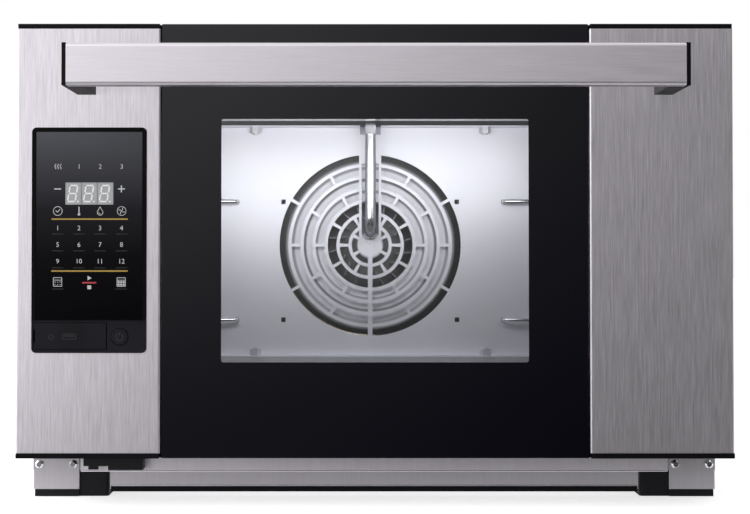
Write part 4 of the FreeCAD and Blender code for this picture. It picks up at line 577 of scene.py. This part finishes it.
class Print:
    """Shapes of one ink in millimetres, on an upright plane at a depth in metres, carried by one body."""

    def __init__(self, name, shade, depth, body="door"):
        self.name = name
        self.shade = shade
        self.depth = depth
        self.body = body
        self.mesh = bmesh.new()

    def polygon(self, points):
        area = sum(a[0] * b[1] - b[0] * a[1] for a, b in zip(points, points[1:] + points[:1]))
        ordered = points if area > 0 else points[::-1]
        corners = [self.mesh.verts.new((x * MM, self.depth, z * MM)) for x, z in ordered]
        self.mesh.faces.new(corners)

    def block(self, x0, z0, x1, z1):
        self.polygon([(x0, z0), (x1, z0), (x1, z1), (x0, z1)])

    def bar(self, x0, z0, x1, z1, width):
        along = Vector((x1 - x0, z1 - z0)).normalized() * (width / 2)
        self.polygon([(x0 + along.y, z0 - along.x), (x1 + along.y, z1 - along.x),
                      (x1 - along.y, z1 + along.x), (x0 - along.y, z0 + along.x)])

    def dash(self, x, z, half, width):
        self.bar(x - half, z, x + half, z, width)

    def path(self, points, width):
        for (x0, z0), (x1, z1) in zip(points, points[1:]):
            self.bar(x0, z0, x1, z1, width)

    def outline(self, x, z, half_wide, half_tall, width):
        left, right = x - half_wide, x + half_wide
        low, high = z - half_tall, z + half_tall
        self.path([(left, low), (right, low), (right, high), (left, high), (left, low)], width)

    def arc(self, x, z, radius, width, start=0.0, end=360.0, steps=28):
        angles = [math.radians(start + (end - start) * i / steps) for i in range(steps + 1)]
        for a, b in zip(angles, angles[1:]):
            ring = []
            for r, pair in ((radius + width / 2, (a, b)), (radius - width / 2, (b, a))):
                ring += [(x + r * math.cos(t), z + r * math.sin(t)) for t in pair]
            self.polygon(ring)

    def disc(self, x, z, radius, steps=20):
        self.polygon([(x + radius * math.cos(t), z + radius * math.sin(t)) for t in round_angles(steps)])

    def digits(self, text, x, z, height):
        """A number centred on a place, from the built-in font."""
        curve = bpy.data.curves.new(self.name + text, "FONT")
        curve.body = text
        curve.align_x = "CENTER"
        curve.size = 1.0
        curve.resolution_u = 3
        holder = bpy.data.objects.new(self.name + text, curve)
        scene.collection.objects.link(holder)
        bpy.context.view_layer.update()
        shown = holder.evaluated_get(bpy.context.evaluated_depsgraph_get())
        flat = bpy.data.meshes.new_from_object(shown)
        tops = [v.co.y for v in flat.vertices]
        middle = (max(tops) + min(tops)) / 2
        factor = height / (max(tops) - min(tops))
        for vertex in flat.vertices:
            across = x + vertex.co.x * factor
            upward = z + (vertex.co.y - middle) * factor
            vertex.co = (across * MM, self.depth, upward * MM)
        self.mesh.from_mesh(flat)
        bpy.data.objects.remove(holder)
        bpy.data.meshes.remove(flat)
        bpy.data.curves.remove(curve)

    def done(self, slot):
        add_piece(self.name, self.mesh, self.shade, self.body)


PRINT_RISE = 0.00006
touch_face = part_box("touch_panel")[0].y - PRINT_RISE
white = Print("panel_print_white", ink("InkWhite", (0.56, 0.56, 0.57), emission=0.1), touch_face)
gold = Print("panel_print_gold", ink("InkGold", (0.42, 0.27, 0.05), emission=0.05), touch_face)
red = Print("panel_print_red", ink("InkRed", (0.5, 0.035, 0.05), emission=0.05), touch_face)
dim = Print("panel_print_dim", ink("InkDim", (0.026, 0.026, 0.028)), touch_face)

# Columns and rows of the panel, in pixels of the photograph; some rows have a line below them.
COLUMNS = (57.2, 78.4, 99.5, 121.0)
TOP_ROW, TOP_LINE = 166.4, 173.0
SIGN_ROW, MINUS_COLUMN, PLUS_COLUMN = 188.9, 57.0, 120.7
ICON_ROW = 211.0
GOLD_ROWS, GOLD_ENDS = (219.1, 271.0), (51.0, 127.3)
NUMBER_ROWS = ((228.0, 234.0), (244.6, 250.9), (261.2, 267.8))
DOTTED_SPOT, FILLED_SPOT, CHAMBER_LINE = (57.3, 281.9), (120.8, 282.0), 289.0
START_ROW, START_ENDS = 282.7, (82.0, 95.8)

# Line widths and sizes of the marks, in millimetres.
FINE, THIN, MEDIUM, STRONG, BROAD = 0.45, 0.5, 0.6, 1.0, 1.25
DIGIT = 3.9
UNDERLINE_HALF = 4.8
SIGN_HALF = 2.9
ICON_RADIUS = 3.7
CHAMBER_HALF_WIDE, CHAMBER_HALF_TALL, CHAMBER_SHELF = 3.5, 3.6, 1.5
DOT_ROWS, DOT_COLUMNS, DOT_PITCH, DOT_LOW = 2, 3, 2.1, 2.2
DOT_HALF, DOT_RADIUS, DOT_STEPS = 0.8, 0.4, 8


def underline(px, py):
    dim.dash(*spot(px, py), UNDERLINE_HALF, FINE)


def icon_heat(px, py):
    """Three upright waves."""
    x, z = spot(px, py)
    gap, half, swing, turn, steps = 2.2, 2.2, 0.55, 1.05, 8
    for shift in (-gap, 0.0, gap):
        wave = []
        for i in range(steps + 1):
            wave.append((x + shift + swing * math.sin(i * turn), z - half + 2 * half * i / steps))
        white.path(wave, MEDIUM)


def icon_clock(px, py):
    """A dial with two hands."""
    x, z = spot(px, py)
    hands = ((-1.8, 0.4), (-0.3, -1.0), (1.9, 1.5))
    white.arc(x, z, ICON_RADIUS, THIN)
    white.path([(x + across, z + rise) for across, rise in hands], MEDIUM)


def icon_thermometer(px, py):
    """A stem over a bulb."""
    x, z = spot(px, py)
    stem_low, stem_high, stem_width = 2.3, 3.6, 0.9
    bulb_low, bulb_radius = 2.7, 1.15
    white.bar(x, z - stem_low, x, z + stem_high, stem_width)
    white.disc(x, z - bulb_low, bulb_radius)


def icon_drop(px, py):
    """A drop with a glint in it."""
    x, z = spot(px, py)
    belly, radius, glint = z - 1.2, 2.3, 1.1
    shoulder_half, shoulder, tip = 1.76, 0.3, 3.6
    white.arc(x, belly, radius, THIN, start=140.0, end=400.0)
    white.path([(x - shoulder_half, z + shoulder), (x, z + tip), (x + shoulder_half, z + shoulder)], THIN)
    white.arc(x, belly, glint, THIN, start=180.0, end=290.0, steps=8)


def icon_fan(px, py):
    """A ring with a hub and four curved blades."""
    x, z = spot(px, py)
    hub, blades, first, sweep, width = 0.65, 4, 30, 0.28, 0.55
    radii = (0.9, 1.5, 2.1, 2.8)
    white.arc(x, z, ICON_RADIUS, FINE)
    white.disc(x, z, hub)
    for turn in range(blades):
        start = math.radians(360 / blades * turn + first)
        blade = []
        for r in radii:
            angle = start + r * sweep
            blade.append((x + r * math.cos(angle), z + r * math.sin(angle)))
        white.path(blade, width)


def icon_chamber(px, py, filled):
    """Outline of a chamber, with a shelf over rows of filled squares or of dots."""
    x, z = spot(px, py)
    white.outline(x, z, CHAMBER_HALF_WIDE, CHAMBER_HALF_TALL, THIN)
    white.dash(x, z + CHAMBER_SHELF, CHAMBER_HALF_WIDE, FINE)
    for row in range(DOT_ROWS):
        for column in range(DOT_COLUMNS):
            dot_x, dot_z = x - DOT_PITCH + DOT_PITCH * column, z - DOT_LOW + DOT_PITCH * row
            if filled:
                white.block(dot_x - DOT_HALF, dot_z - DOT_HALF, dot_x + DOT_HALF, dot_z + DOT_HALF)
            else:
                white.disc(dot_x, dot_z, DOT_RADIUS, DOT_STEPS)


def draw_signs():
    """Minus and plus beside the display."""
    white.dash(*spot(MINUS_COLUMN, SIGN_ROW), SIGN_HALF, STRONG)
    x, z = spot(PLUS_COLUMN, SIGN_ROW)
    white.dash(x, z, SIGN_HALF, STRONG)
    half = STRONG / 2
    white.block(x - half, z + half, x + half, z + SIGN_HALF)
    white.block(x - half, z - SIGN_HALF, x + half, z - half)


def draw_start():
    """A red line between a start triangle and a stop square."""
    x0, z = spot(START_ENDS[0], START_ROW)
    x1, _ = spot(START_ENDS[1], START_ROW)
    middle = (x0 + x1) / 2
    line_width, square_half, square_low, square_high = 1.3, 1.6, 5.4, 2.2
    triangle = ((-1.4, 2.0), (2.0, 3.9), (-1.4, 5.8))
    red.bar(x0, z, x1, z, line_width)
    white.polygon([(middle + across, z + rise) for across, rise in triangle])
    white.block(middle - square_half, z - square_low, middle + square_half, z - square_high)


def draw_panel():
    """Plain numbers and generic icons in four columns, from the top row down."""
    icon_heat(COLUMNS[0], TOP_ROW)
    for number, px in enumerate(COLUMNS[1:], start=1):
        white.digits(str(number), *spot(px, TOP_ROW), DIGIT)
    for px in COLUMNS:
        underline(px, TOP_LINE)
    draw_signs()
    for icon, px in zip((icon_clock, icon_thermometer, icon_drop, icon_fan), COLUMNS):
        icon(px, ICON_ROW)
    for py in GOLD_ROWS:
        gold.bar(*spot(GOLD_ENDS[0], py), *spot(GOLD_ENDS[1], py), BROAD)
    number = 1
    for py, line in NUMBER_ROWS:
        for px in COLUMNS:
            white.digits(str(number), *spot(px, py), DIGIT)
            underline(px, line)
            number += 1
    icon_chamber(*DOTTED_SPOT, filled=False)
    icon_chamber(*FILLED_SPOT, filled=True)
    underline(DOTTED_SPOT[0], CHAMBER_LINE)
    underline(FILLED_SPOT[0], CHAMBER_LINE)
    draw_start()
    for layer in (white, gold, red, dim):
        layer.done("touch_glass")


# Display: slanted segments in millimetres.
CELLS = 3
CELL_SHIFT = 0.6
SEGMENT_WIDE, SEGMENT_TALL, SEGMENT_THICK = 6.4, 13.4, 1.35
SEGMENT_LEAN, LEVEL_GAP, UPRIGHT_GAP = 0.17, 0.35, 0.85
POINT_GAP, POINT_RADIUS, POINT_STEPS = 1.2, 0.75, 12


def draw_eight(lit, middle, base):
    """All seven segments of one digit, and the point after it."""
    half, rise = SEGMENT_WIDE / 2, SEGMENT_TALL / 2

    def lean(x, z):
        return middle + x + z * SEGMENT_LEAN, base + z

    for z in (-rise, 0.0, rise):
        lit.bar(*lean(LEVEL_GAP - half, z), *lean(half - LEVEL_GAP, z), SEGMENT_THICK)
    for x in (-half, half):
        for z in (-rise, 0.0):
            lit.bar(*lean(x, z + UPRIGHT_GAP), *lean(x, z + rise - UPRIGHT_GAP), SEGMENT_THICK)
    lit.disc(middle + half + POINT_GAP, base - rise, POINT_RADIUS, POINT_STEPS)


def draw_display():
    """Three digits, and the joints between their cells."""
    low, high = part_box("led_display")
    face = low.y - PRINT_RISE
    lit = Print("display_segments", ink("SegmentWhite", (0.7, 0.72, 0.72), emission=0.24), face)
    joints = Print("display_joints", ink("DisplayJoint", (0.12, 0.12, 0.125)), face)
    cell = (high.x - low.x) / MM / CELLS
    base = (low.z + high.z) / 2 / MM
    for index in range(CELLS):
        left = low.x / MM + cell * index
        draw_eight(lit, left + cell / 2 - CELL_SHIFT, base)
        if index:
            joints.bar(left, low.z / MM, left, high.z / MM, THIN)
    lit.done("display")
    joints.done("display")


# Flap and button: places in pixels of the photograph, sizes in millimetres.
FLAP_RING_SPOT, FLAP_PLUG_SPOT = (51.0, 336.7), (69.0, 336.4)
MARK_LINE = 0.35
FLAP_RING_RADIUS = 1.9
PLUG_HALF_WIDE, PLUG_HALF_TALL, PLUG_TONGUE_HALF, PLUG_TONGUE_RISE = 5.4, 2.1, 3.8, 0.5
POWER_RADIUS, POWER_STEM_LOW, POWER_STEM_HIGH = 3.0, 1.2, 3.9


def draw_fascia():
    """Faint tone-on-tone marks on the service flap and the power button."""
    mark = ink("MarkGrey", (0.034, 0.034, 0.037))
    flap = Print("flap_marks", mark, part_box("service_flap")[0].y - PRINT_RISE, "flap")
    flap.arc(*spot(*FLAP_RING_SPOT), FLAP_RING_RADIUS, MARK_LINE)
    x, z = spot(*FLAP_PLUG_SPOT)
    flap.outline(x, z, PLUG_HALF_WIDE, PLUG_HALF_TALL, MARK_LINE)
    flap.dash(x, z + PLUG_TONGUE_RISE, PLUG_TONGUE_HALF, MEDIUM)
    flap.done("black_plastic")
    low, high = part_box("power_button")
    button = Print("button_mark", mark, low.y - PRINT_RISE, "button")
    x, z = (low.x + high.x) / 2 / MM, (low.z + high.z) / 2 / MM
    button.arc(x, z, POWER_RADIUS, THIN, start=120.0, end=420.0)
    button.bar(x, z + POWER_STEM_LOW, x, z + POWER_STEM_HIGH, THIN)
    button.done("black_plastic")


draw_panel()
draw_display()
draw_fascia()


# Screws and louvre hoods on the rear panel, in millimetres.

SCREW_STEPS = 48
SCREW_RADIUS = 4.2
SCREW_INSET = 12.0
# Rings of the head: share of its radius, or None for the recess, and height over the panel.
SCREW_RINGS = ((1.0, -0.3), (1.0, 0.5), (0.9, 1.1), (0.72, 1.5), (None, 1.65), (None, 0.7))
RECESS_ARM = 0.56
RECESS_HALF = 0.15
VENT_LENGTH, VENT_HEIGHT = 70.0, 4.0
VENT_PITCH, VENT_COUNT = 12.0, 9
VENT_CENTRE, VENT_LOW = 105.0, 210.0
HOOD_DEPTH, HOOD_GAUGE, HOOD_STEPS = 3.2, 0.8, 6


def cross_reach(angle):
    """Reach of a cross recess at an angle, as a share of the head's radius."""
    folded = (angle + math.pi / 4) % (math.pi / 2) - math.pi / 4
    return min(RECESS_ARM / math.cos(folded), RECESS_HALF / max(abs(math.sin(folded)), RECESS_HALF / 2))


def screw_head(mesh, place):
    """Domed head with a cross recess, which faces backwards from a place on the panel."""
    outward = Vector((0.0, 1.0, 0.0))
    up = Vector((0.0, 0.0, 1.0))
    across = outward.cross(up)
    loops = []
    for share, height in SCREW_RINGS:
        loop = []
        for angle in round_angles(SCREW_STEPS):
            reach = SCREW_RADIUS * (cross_reach(angle) if share is None else share)
            point = place + outward * height + (across * math.cos(angle) + up * math.sin(angle)) * reach
            loop.append(mesh.verts.new(point * MM))
        loops.append(loop)
    close_loops(mesh, loops)


def rear_screws():
    """Screws round the rear panel, which stand out less than the inlet does."""
    low, high = (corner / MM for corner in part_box("rear_panel"))
    mesh = bmesh.new()
    columns = [low.x + SCREW_INSET, 0.0, high.x - SCREW_INSET]
    rows = [low.z + SCREW_INSET, (low.z + high.z) / 2, high.z - SCREW_INSET]
    for x in columns:
        for z in rows:
            if (x, z) != (columns[1], rows[1]):
                screw_head(mesh, Vector((x, high.y, z)))
    add_solid("rear_screws", mesh, nut_steel, "cabinet")


def vent_hood(mesh, x, z, face):
    """Quarter-round hood over one slot, open below and closed at both ends."""
    turns = [math.pi / 2 * step / HOOD_STEPS for step in range(HOOD_STEPS + 1)]
    top = VENT_HEIGHT + HOOD_GAUGE
    outer = [(HOOD_DEPTH * math.sin(turn), top * math.cos(turn)) for turn in turns]
    depth, rise = HOOD_DEPTH - HOOD_GAUGE, top - HOOD_GAUGE
    inner = [(depth * math.sin(turn), rise * math.cos(turn)) for turn in turns]
    outline = outer + inner[::-1]
    ends = []
    for end in (-VENT_LENGTH / 2 - HOOD_GAUGE, VENT_LENGTH / 2 + HOOD_GAUGE):
        ends.append([mesh.verts.new(Vector((x + end, face + y, z + h)) * MM) for y, h in outline])
    close_loops(mesh, ends)


def vent_hoods():
    """A hood over each slot of the two vents."""
    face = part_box("rear_panel")[1].y / MM
    mesh = bmesh.new()
    for x in (-VENT_CENTRE, VENT_CENTRE):
        for row in range(VENT_COUNT):
            vent_hood(mesh, x, VENT_LOW + VENT_PITCH * row, face)
    add_solid("vent_hoods", mesh, zinc_steel, "cabinet")


# Painted highlights along the fold lines of the front rail, in millimetres.

BEAD_STEPS = 12
BEAD_RADIUS, BEAD_TAPER, BEAD_TIP = 0.6, 1.5, 0.4
FOLD_INSET, FOLD_DROP = 0.2, 0.8
HEM_INSET, HEM_RISE = 1.2, 0.5


def rail_bead(name, x_half, y, z):
    """Rounded line of brighter steel along the base rail, a painted highlight, tapered at both ends."""
    mesh = bmesh.new()
    full_half = x_half - BEAD_TAPER
    loops = []
    for x, share in ((-x_half, BEAD_TIP), (-full_half, 1.0), (full_half, 1.0), (x_half, BEAD_TIP)):
        radius = BEAD_RADIUS * share
        loop = []
        for turn in round_angles(BEAD_STEPS):
            point = Vector((x, y + radius * math.cos(turn), z + radius * math.sin(turn)))
            loop.append(mesh.verts.new(point * MM))
        loops.append(loop)
    close_loops(mesh, loops)
    add_solid(name, mesh, fold_steel, "cabinet")


def rail_beads():
    """Painted highlights along the rail's step and the hem above its black trim."""
    rail_low, rail_high = (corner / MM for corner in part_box("base_front_rail"))
    trim_low, trim_high = (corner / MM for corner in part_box("rail_edge_trim"))
    pan_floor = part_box("base_pan")[0].z / MM
    rail_bead("rail_fold_highlight", rail_high.x, rail_low.y + FOLD_INSET, pan_floor - FOLD_DROP)
    rail_bead("rail_hem_highlight", trim_high.x, trim_low.y + HEM_INSET, trim_high.z + HEM_RISE)


rear_screws()
vent_hoods()
rail_beads()


# Camera at the photograph's place.

def make_camera():
    lens = bpy.data.cameras.new("PhotoCamera")
    lens.sensor_width = SENSOR_MM
    lens.lens = EYE_DISTANCE / MM / PIXEL_MM / IMAGE_PX[0] * SENSOR_MM
    lens.shift_x = (IMAGE_PX[0] / 2 - AXIS_PX[0]) / IMAGE_PX[0]
    lens.shift_y = (AXIS_PX[1] - IMAGE_PX[1] / 2) / IMAGE_PX[0]
    lens.clip_start = CLIP_START
    lens.clip_end = CLIP_END
    camera = bpy.data.objects.new("PhotoCamera", lens)
    scene.collection.objects.link(camera)
    door_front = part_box("door_skin_left")[0].y
    camera.location = ((VANISH_PX[0] - MIDDLE_PX) * PIXEL_MM * MM, door_front - EYE_DISTANCE, EYE_HEIGHT)
    camera.rotation_euler = (math.radians(90.0) + EYE_TILT, 0.0, 0.0)
    scene.camera = camera


# Studio: a white worktop and ground, a graded screen behind the camera, and lamps.

PALE_FLOOR = (0.8, 0.8, 0.8, 1.0)
WHITE_LIGHT = (1.0, 1.0, 1.0, 1.0)
SOFT_STRENGTH, SEEN_STRENGTH = 0.7, 1.0
STAGE_REACH = 15.0
WORKTOP_FRONT, WORKTOP_LEVEL, WORKTOP_GLOW = -0.3, -0.0004, 0.68
GROUND_FRONT, GROUND_LEVEL, GROUND_GLOW = -STAGE_REACH, -0.9, 0.95

# Screen: a bowl of these radii and levels, lit in patches that fade along x and along z.
# A fade is its first value, its last value, where it starts and where it ends.
SCREEN_SPAN = math.radians(110.0)
SCREEN_STEPS = 48
SCREEN_PROFILE = ((0.75, -0.6), (1.7, -0.8), (2.4, -0.5), (2.4, 2.6))
FRONT_PATCH = ((1.1, 0.26, -0.7, 0.85), (0.2, 1.05, -0.3, 0.95))
RIGHT_PATCH = ((0.0, 0.85, 0.9, 2.0), (1.0, 0.0, -0.3, 0.5))
LEFT_PATCH = ((1.5, 0.0, -2.2, -1.2), (0.1, 1.0, -0.4, 0.3))
CROWN_PATCH = ((1.0, 0.02, -0.1, 0.7), (0.0, 0.8, 0.95, 1.5))

# Lamps: place, target, size in metres and power in watts.
LAMPS = {
    "KeyLeft": ((-1.0, -1.75, 0.13), (-0.15, -0.27, 0.2), (0.5, 0.5), 2.5),
    "ChamberLeft": ((-0.11, -0.055, 0.3), (-0.11, 0.149, 0.285), (0.2, 0.08), 0.24),
    "ChamberRight": ((0.095, -0.04, 0.315), (0.095, 0.149, 0.305), (0.2, 0.07), 0.195),
}


class Stage(Tree):
    """Node tree of a stage material or the world, white to what sees the background."""

    def __init__(self, tree, output):
        super().__init__(tree)
        tree.nodes.clear()
        self.out = self.new(output)

    def sees_background(self):
        path = self.new("ShaderNodeLightPath").outputs
        glass = self.math("MAXIMUM", path["Is Glossy Ray"], path["Is Transmission Ray"])
        return self.math("MAXIMUM", path["Is Camera Ray"], glass)

    def show(self, output):
        self.link(output, self.out.inputs["Surface"])

    def show_mixed(self, plain, seen):
        node = self.new("ShaderNodeMixShader")
        self.link(self.sees_background(), node.inputs["Fac"])
        self.link(plain, node.inputs[SHADER_FIRST])
        self.link(seen, node.inputs[SHADER_SECOND])
        self.show(node.outputs[0])


def stage_material(name):
    mat = bpy.data.materials.new(name)
    mat.use_nodes = True
    return mat, Stage(mat.node_tree, "ShaderNodeOutputMaterial")


def stage_object(name, mesh, mat):
    obj = mesh_object(name, mesh, mat)
    return obj


def make_ground(name, front, level, strength):
    """Pale level sheet from its front edge backwards, lifted to white where the background is seen."""
    mat, stage = stage_material(name)
    pale = stage.new("ShaderNodeBsdfDiffuse", Color=PALE_FLOOR)
    glow = stage.new("ShaderNodeEmission", Strength=strength)
    seen = stage.new("ShaderNodeAddShader")
    stage.link(pale.outputs[0], seen.inputs[0])
    stage.link(glow.outputs[0], seen.inputs[1])
    stage.show_mixed(pale.outputs[0], seen.outputs[0])
    mesh = bmesh.new()
    near = [(-STAGE_REACH, front), (STAGE_REACH, front)]
    far = [(STAGE_REACH, STAGE_REACH), (-STAGE_REACH, STAGE_REACH)]
    mesh.faces.new([mesh.verts.new((x, y, level)) for x, y in near + far])
    stage_object(name, mesh, mat)


def make_floor():
    """The worktop ends under the door, so that the open door's handle hangs before its edge."""
    make_ground("StudioWorktop", WORKTOP_FRONT, WORKTOP_LEVEL, WORKTOP_GLOW)
    make_ground("StudioGround", GROUND_FRONT, GROUND_LEVEL, GROUND_GLOW)


def screen_mesh():
    mesh = bmesh.new()
    angles = [SCREEN_SPAN * (2 * i / SCREEN_STEPS - 1) for i in range(SCREEN_STEPS + 1)]
    rows = [[mesh.verts.new((radius * math.sin(a), -radius * math.cos(a), level)) for a in angles]
            for radius, level in SCREEN_PROFILE]
    for low, high in zip(rows, rows[1:]):
        for i in range(SCREEN_STEPS):
            mesh.faces.new([low[i], high[i], high[i + 1], low[i + 1]])
    return mesh


def make_screen():
    """Curved screen in front of the door, brightest at the top left, with lit ends and a lit crown."""
    mat, stage = stage_material("StudioScreen")
    split = stage.new("ShaderNodeSeparateXYZ")
    stage.link(stage.new("ShaderNodeTexCoord").outputs["Object"], split.inputs[0])

    def patch(fades):
        x, z = (stage.spread(split.outputs[letter], *fade, "SMOOTHSTEP") for letter, fade in zip("XZ", fades))
        return stage.math("MULTIPLY", x, z)

    sides = stage.math("ADD", patch(RIGHT_PATCH), patch(LEFT_PATCH))
    field = stage.math("ADD", patch(FRONT_PATCH), sides)
    glow = stage.new("ShaderNodeEmission")
    stage.link(stage.math("ADD", field, patch(CROWN_PATCH)), glow.inputs["Strength"])
    stage.show(glow.outputs[0])
    screen = stage_object("StudioScreen", screen_mesh(), mat)
    screen.visible_camera = False
    screen.visible_shadow = False


def make_surroundings():
    world = bpy.data.worlds.new("Studio")
    scene.world = world
    world.use_nodes = True
    stage = Stage(world.node_tree, "ShaderNodeOutputWorld")
    soft = stage.new("ShaderNodeBackground", Color=WHITE_LIGHT, Strength=SOFT_STRENGTH)
    seen = stage.new("ShaderNodeBackground", Color=WHITE_LIGHT, Strength=SEEN_STRENGTH)
    stage.show_mixed(soft.outputs[0], seen.outputs[0])


def make_lamp(name, place, target, size, power):
    data = bpy.data.lights.new(name, "AREA")
    data.shape = "RECTANGLE"
    data.size, data.size_y = size
    data.energy = power
    lamp = bpy.data.objects.new(name, data)
    scene.collection.objects.link(lamp)
    lamp.location = place
    lamp.rotation_euler = (Vector(target) - Vector(place)).to_track_quat("-Z", "Y").to_euler()
    lamp.visible_camera = False
    lamp.visible_transmission = False


scene.view_settings.view_transform = "Standard"
make_camera()
make_floor()
make_screen()
make_surroundings()
for lamp_name, settings in LAMPS.items():
    make_lamp(lamp_name, *settings)
